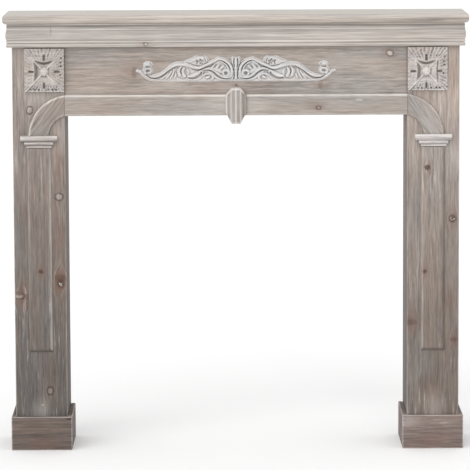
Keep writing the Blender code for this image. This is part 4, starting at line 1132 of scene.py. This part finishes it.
low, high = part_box("mantel_shelf")
tall = high.z - low.z
rows = [(UNDER_ROUND + FILLET_BACK, 0.0, 1.0, 0.0), (UNDER_ROUND + FILLET_BACK, FILLET_TALL, 0.9, 0.0)]
rows += [(UNDER_ROUND - up, FILLET_TALL + UNDER_ROUND - out, 0.0, 0.10)
         for up, out in quarter(UNDER_ROUND, 0, 8)[::-1]]
rows += [(0.0, tall * 0.55, 0.0, 0.0)]
rows += [(TOP_ROUND - out, tall - TOP_ROUND + up, 0.6, 0.0) for out, up in quarter(TOP_ROUND, 0, 7)]
rows += [(TOP_ROUND + 0.003, tall, 0.5, 0.0), (TOP_ROUND + 0.03, tall, 0.5, 0.0)]
# Painted highlight: lime laid on the top face for the light that falls on it from above
on_top = np.array([[TOP_LIME_AND_LIGHT if height == tall else 0.0] for _, height, _, _ in rows])
rings = []
for inset, height, _, _ in rows:
    left, right, front, z = low.x + inset, high.x - inset, low.y + inset, low.z + height
    rings.append([(left, front, z), (right, front, z), (right, high.y, z), (left, high.y, z)])
shelf = skin("shelf", rings, arris=np.array([[row[2]] for row in rows]),
             hollow=np.array([[row[3]] for row in rows]), scuff=on_top)
dress(shelf, "mantel_shelf", "shelf_wood", "flat", 38.9, tone=SHELF_TONE, painted=True, arris=0.3,
      spots=SHELF_SPOTS, pith=(0.0, 0.05, 0.06), straight=0.4)


# Floor, light and camera: a plain pale floor, a broad soft light from the front and above, and a long
# lens a little above the shelf, looking slightly down.
FLOOR_HALF = 30.0
FLOOR_TONE = (0.975, 0.975, 0.975, 1.0)
SKY_STRENGTH = 0.86
CAMERA_PLACE = (-0.036, -7.659, 1.506)
CAMERA_PITCH = 0.1181
CAMERA_YAW = -0.0043
CAMERA_ROLL = 0.0043
CAMERA_LENS = 246.1
CAMERA_SHIFT = -0.08
SUN_HEIGHT = math.radians(24)
SUN_TURN = math.radians(-20)
SUN_SPREAD = math.radians(70)
SUN_STRENGTH = 1.8

bm = bmesh.new()
bmesh.ops.create_grid(bm, x_segments=1, y_segments=1, size=FLOOR_HALF)
floor_mesh = bpy.data.meshes.new("floor")
bm.to_mesh(floor_mesh)
bm.free()
floor = bpy.data.objects.new("floor", floor_mesh)
scene.collection.objects.link(floor)
floor_paint = bpy.data.materials.new("floor_paint")
floor_paint.use_nodes = True
floor_paint.node_tree.nodes["Principled BSDF"].inputs["Base Color"].default_value = FLOOR_TONE
floor_paint.node_tree.nodes["Principled BSDF"].inputs["Roughness"].default_value = 0.9
floor_mesh.materials.append(floor_paint)

world = bpy.data.worlds.new("studio")
world.use_nodes = True
world.node_tree.nodes["Background"].inputs["Color"].default_value = (1.0, 1.0, 1.0, 1.0)
world.node_tree.nodes["Background"].inputs["Strength"].default_value = SKY_STRENGTH
scene.world = world
scene.view_settings.view_transform = "Standard"

soft_light = bpy.data.lights.new("soft_light", "SUN")
soft_light.angle = SUN_SPREAD
soft_light.energy = SUN_STRENGTH
soft_box = bpy.data.objects.new("soft_box", soft_light)
soft_box.rotation_euler = (math.pi / 2 - SUN_HEIGHT, 0.0, SUN_TURN)
scene.collection.objects.link(soft_box)

camera_data = bpy.data.cameras.new("camera")
camera_data.lens = CAMERA_LENS
camera_data.shift_y = CAMERA_SHIFT
camera_data.clip_end = 100.0
camera = bpy.data.objects.new("camera", camera_data)
camera.location = CAMERA_PLACE
camera.rotation_euler = (math.pi / 2 - CAMERA_PITCH, 0.0, CAMERA_YAW)
camera.rotation_euler.rotate_axis("Z", -CAMERA_ROLL)
scene.collection.objects.link(camera)
scene.camera = camera
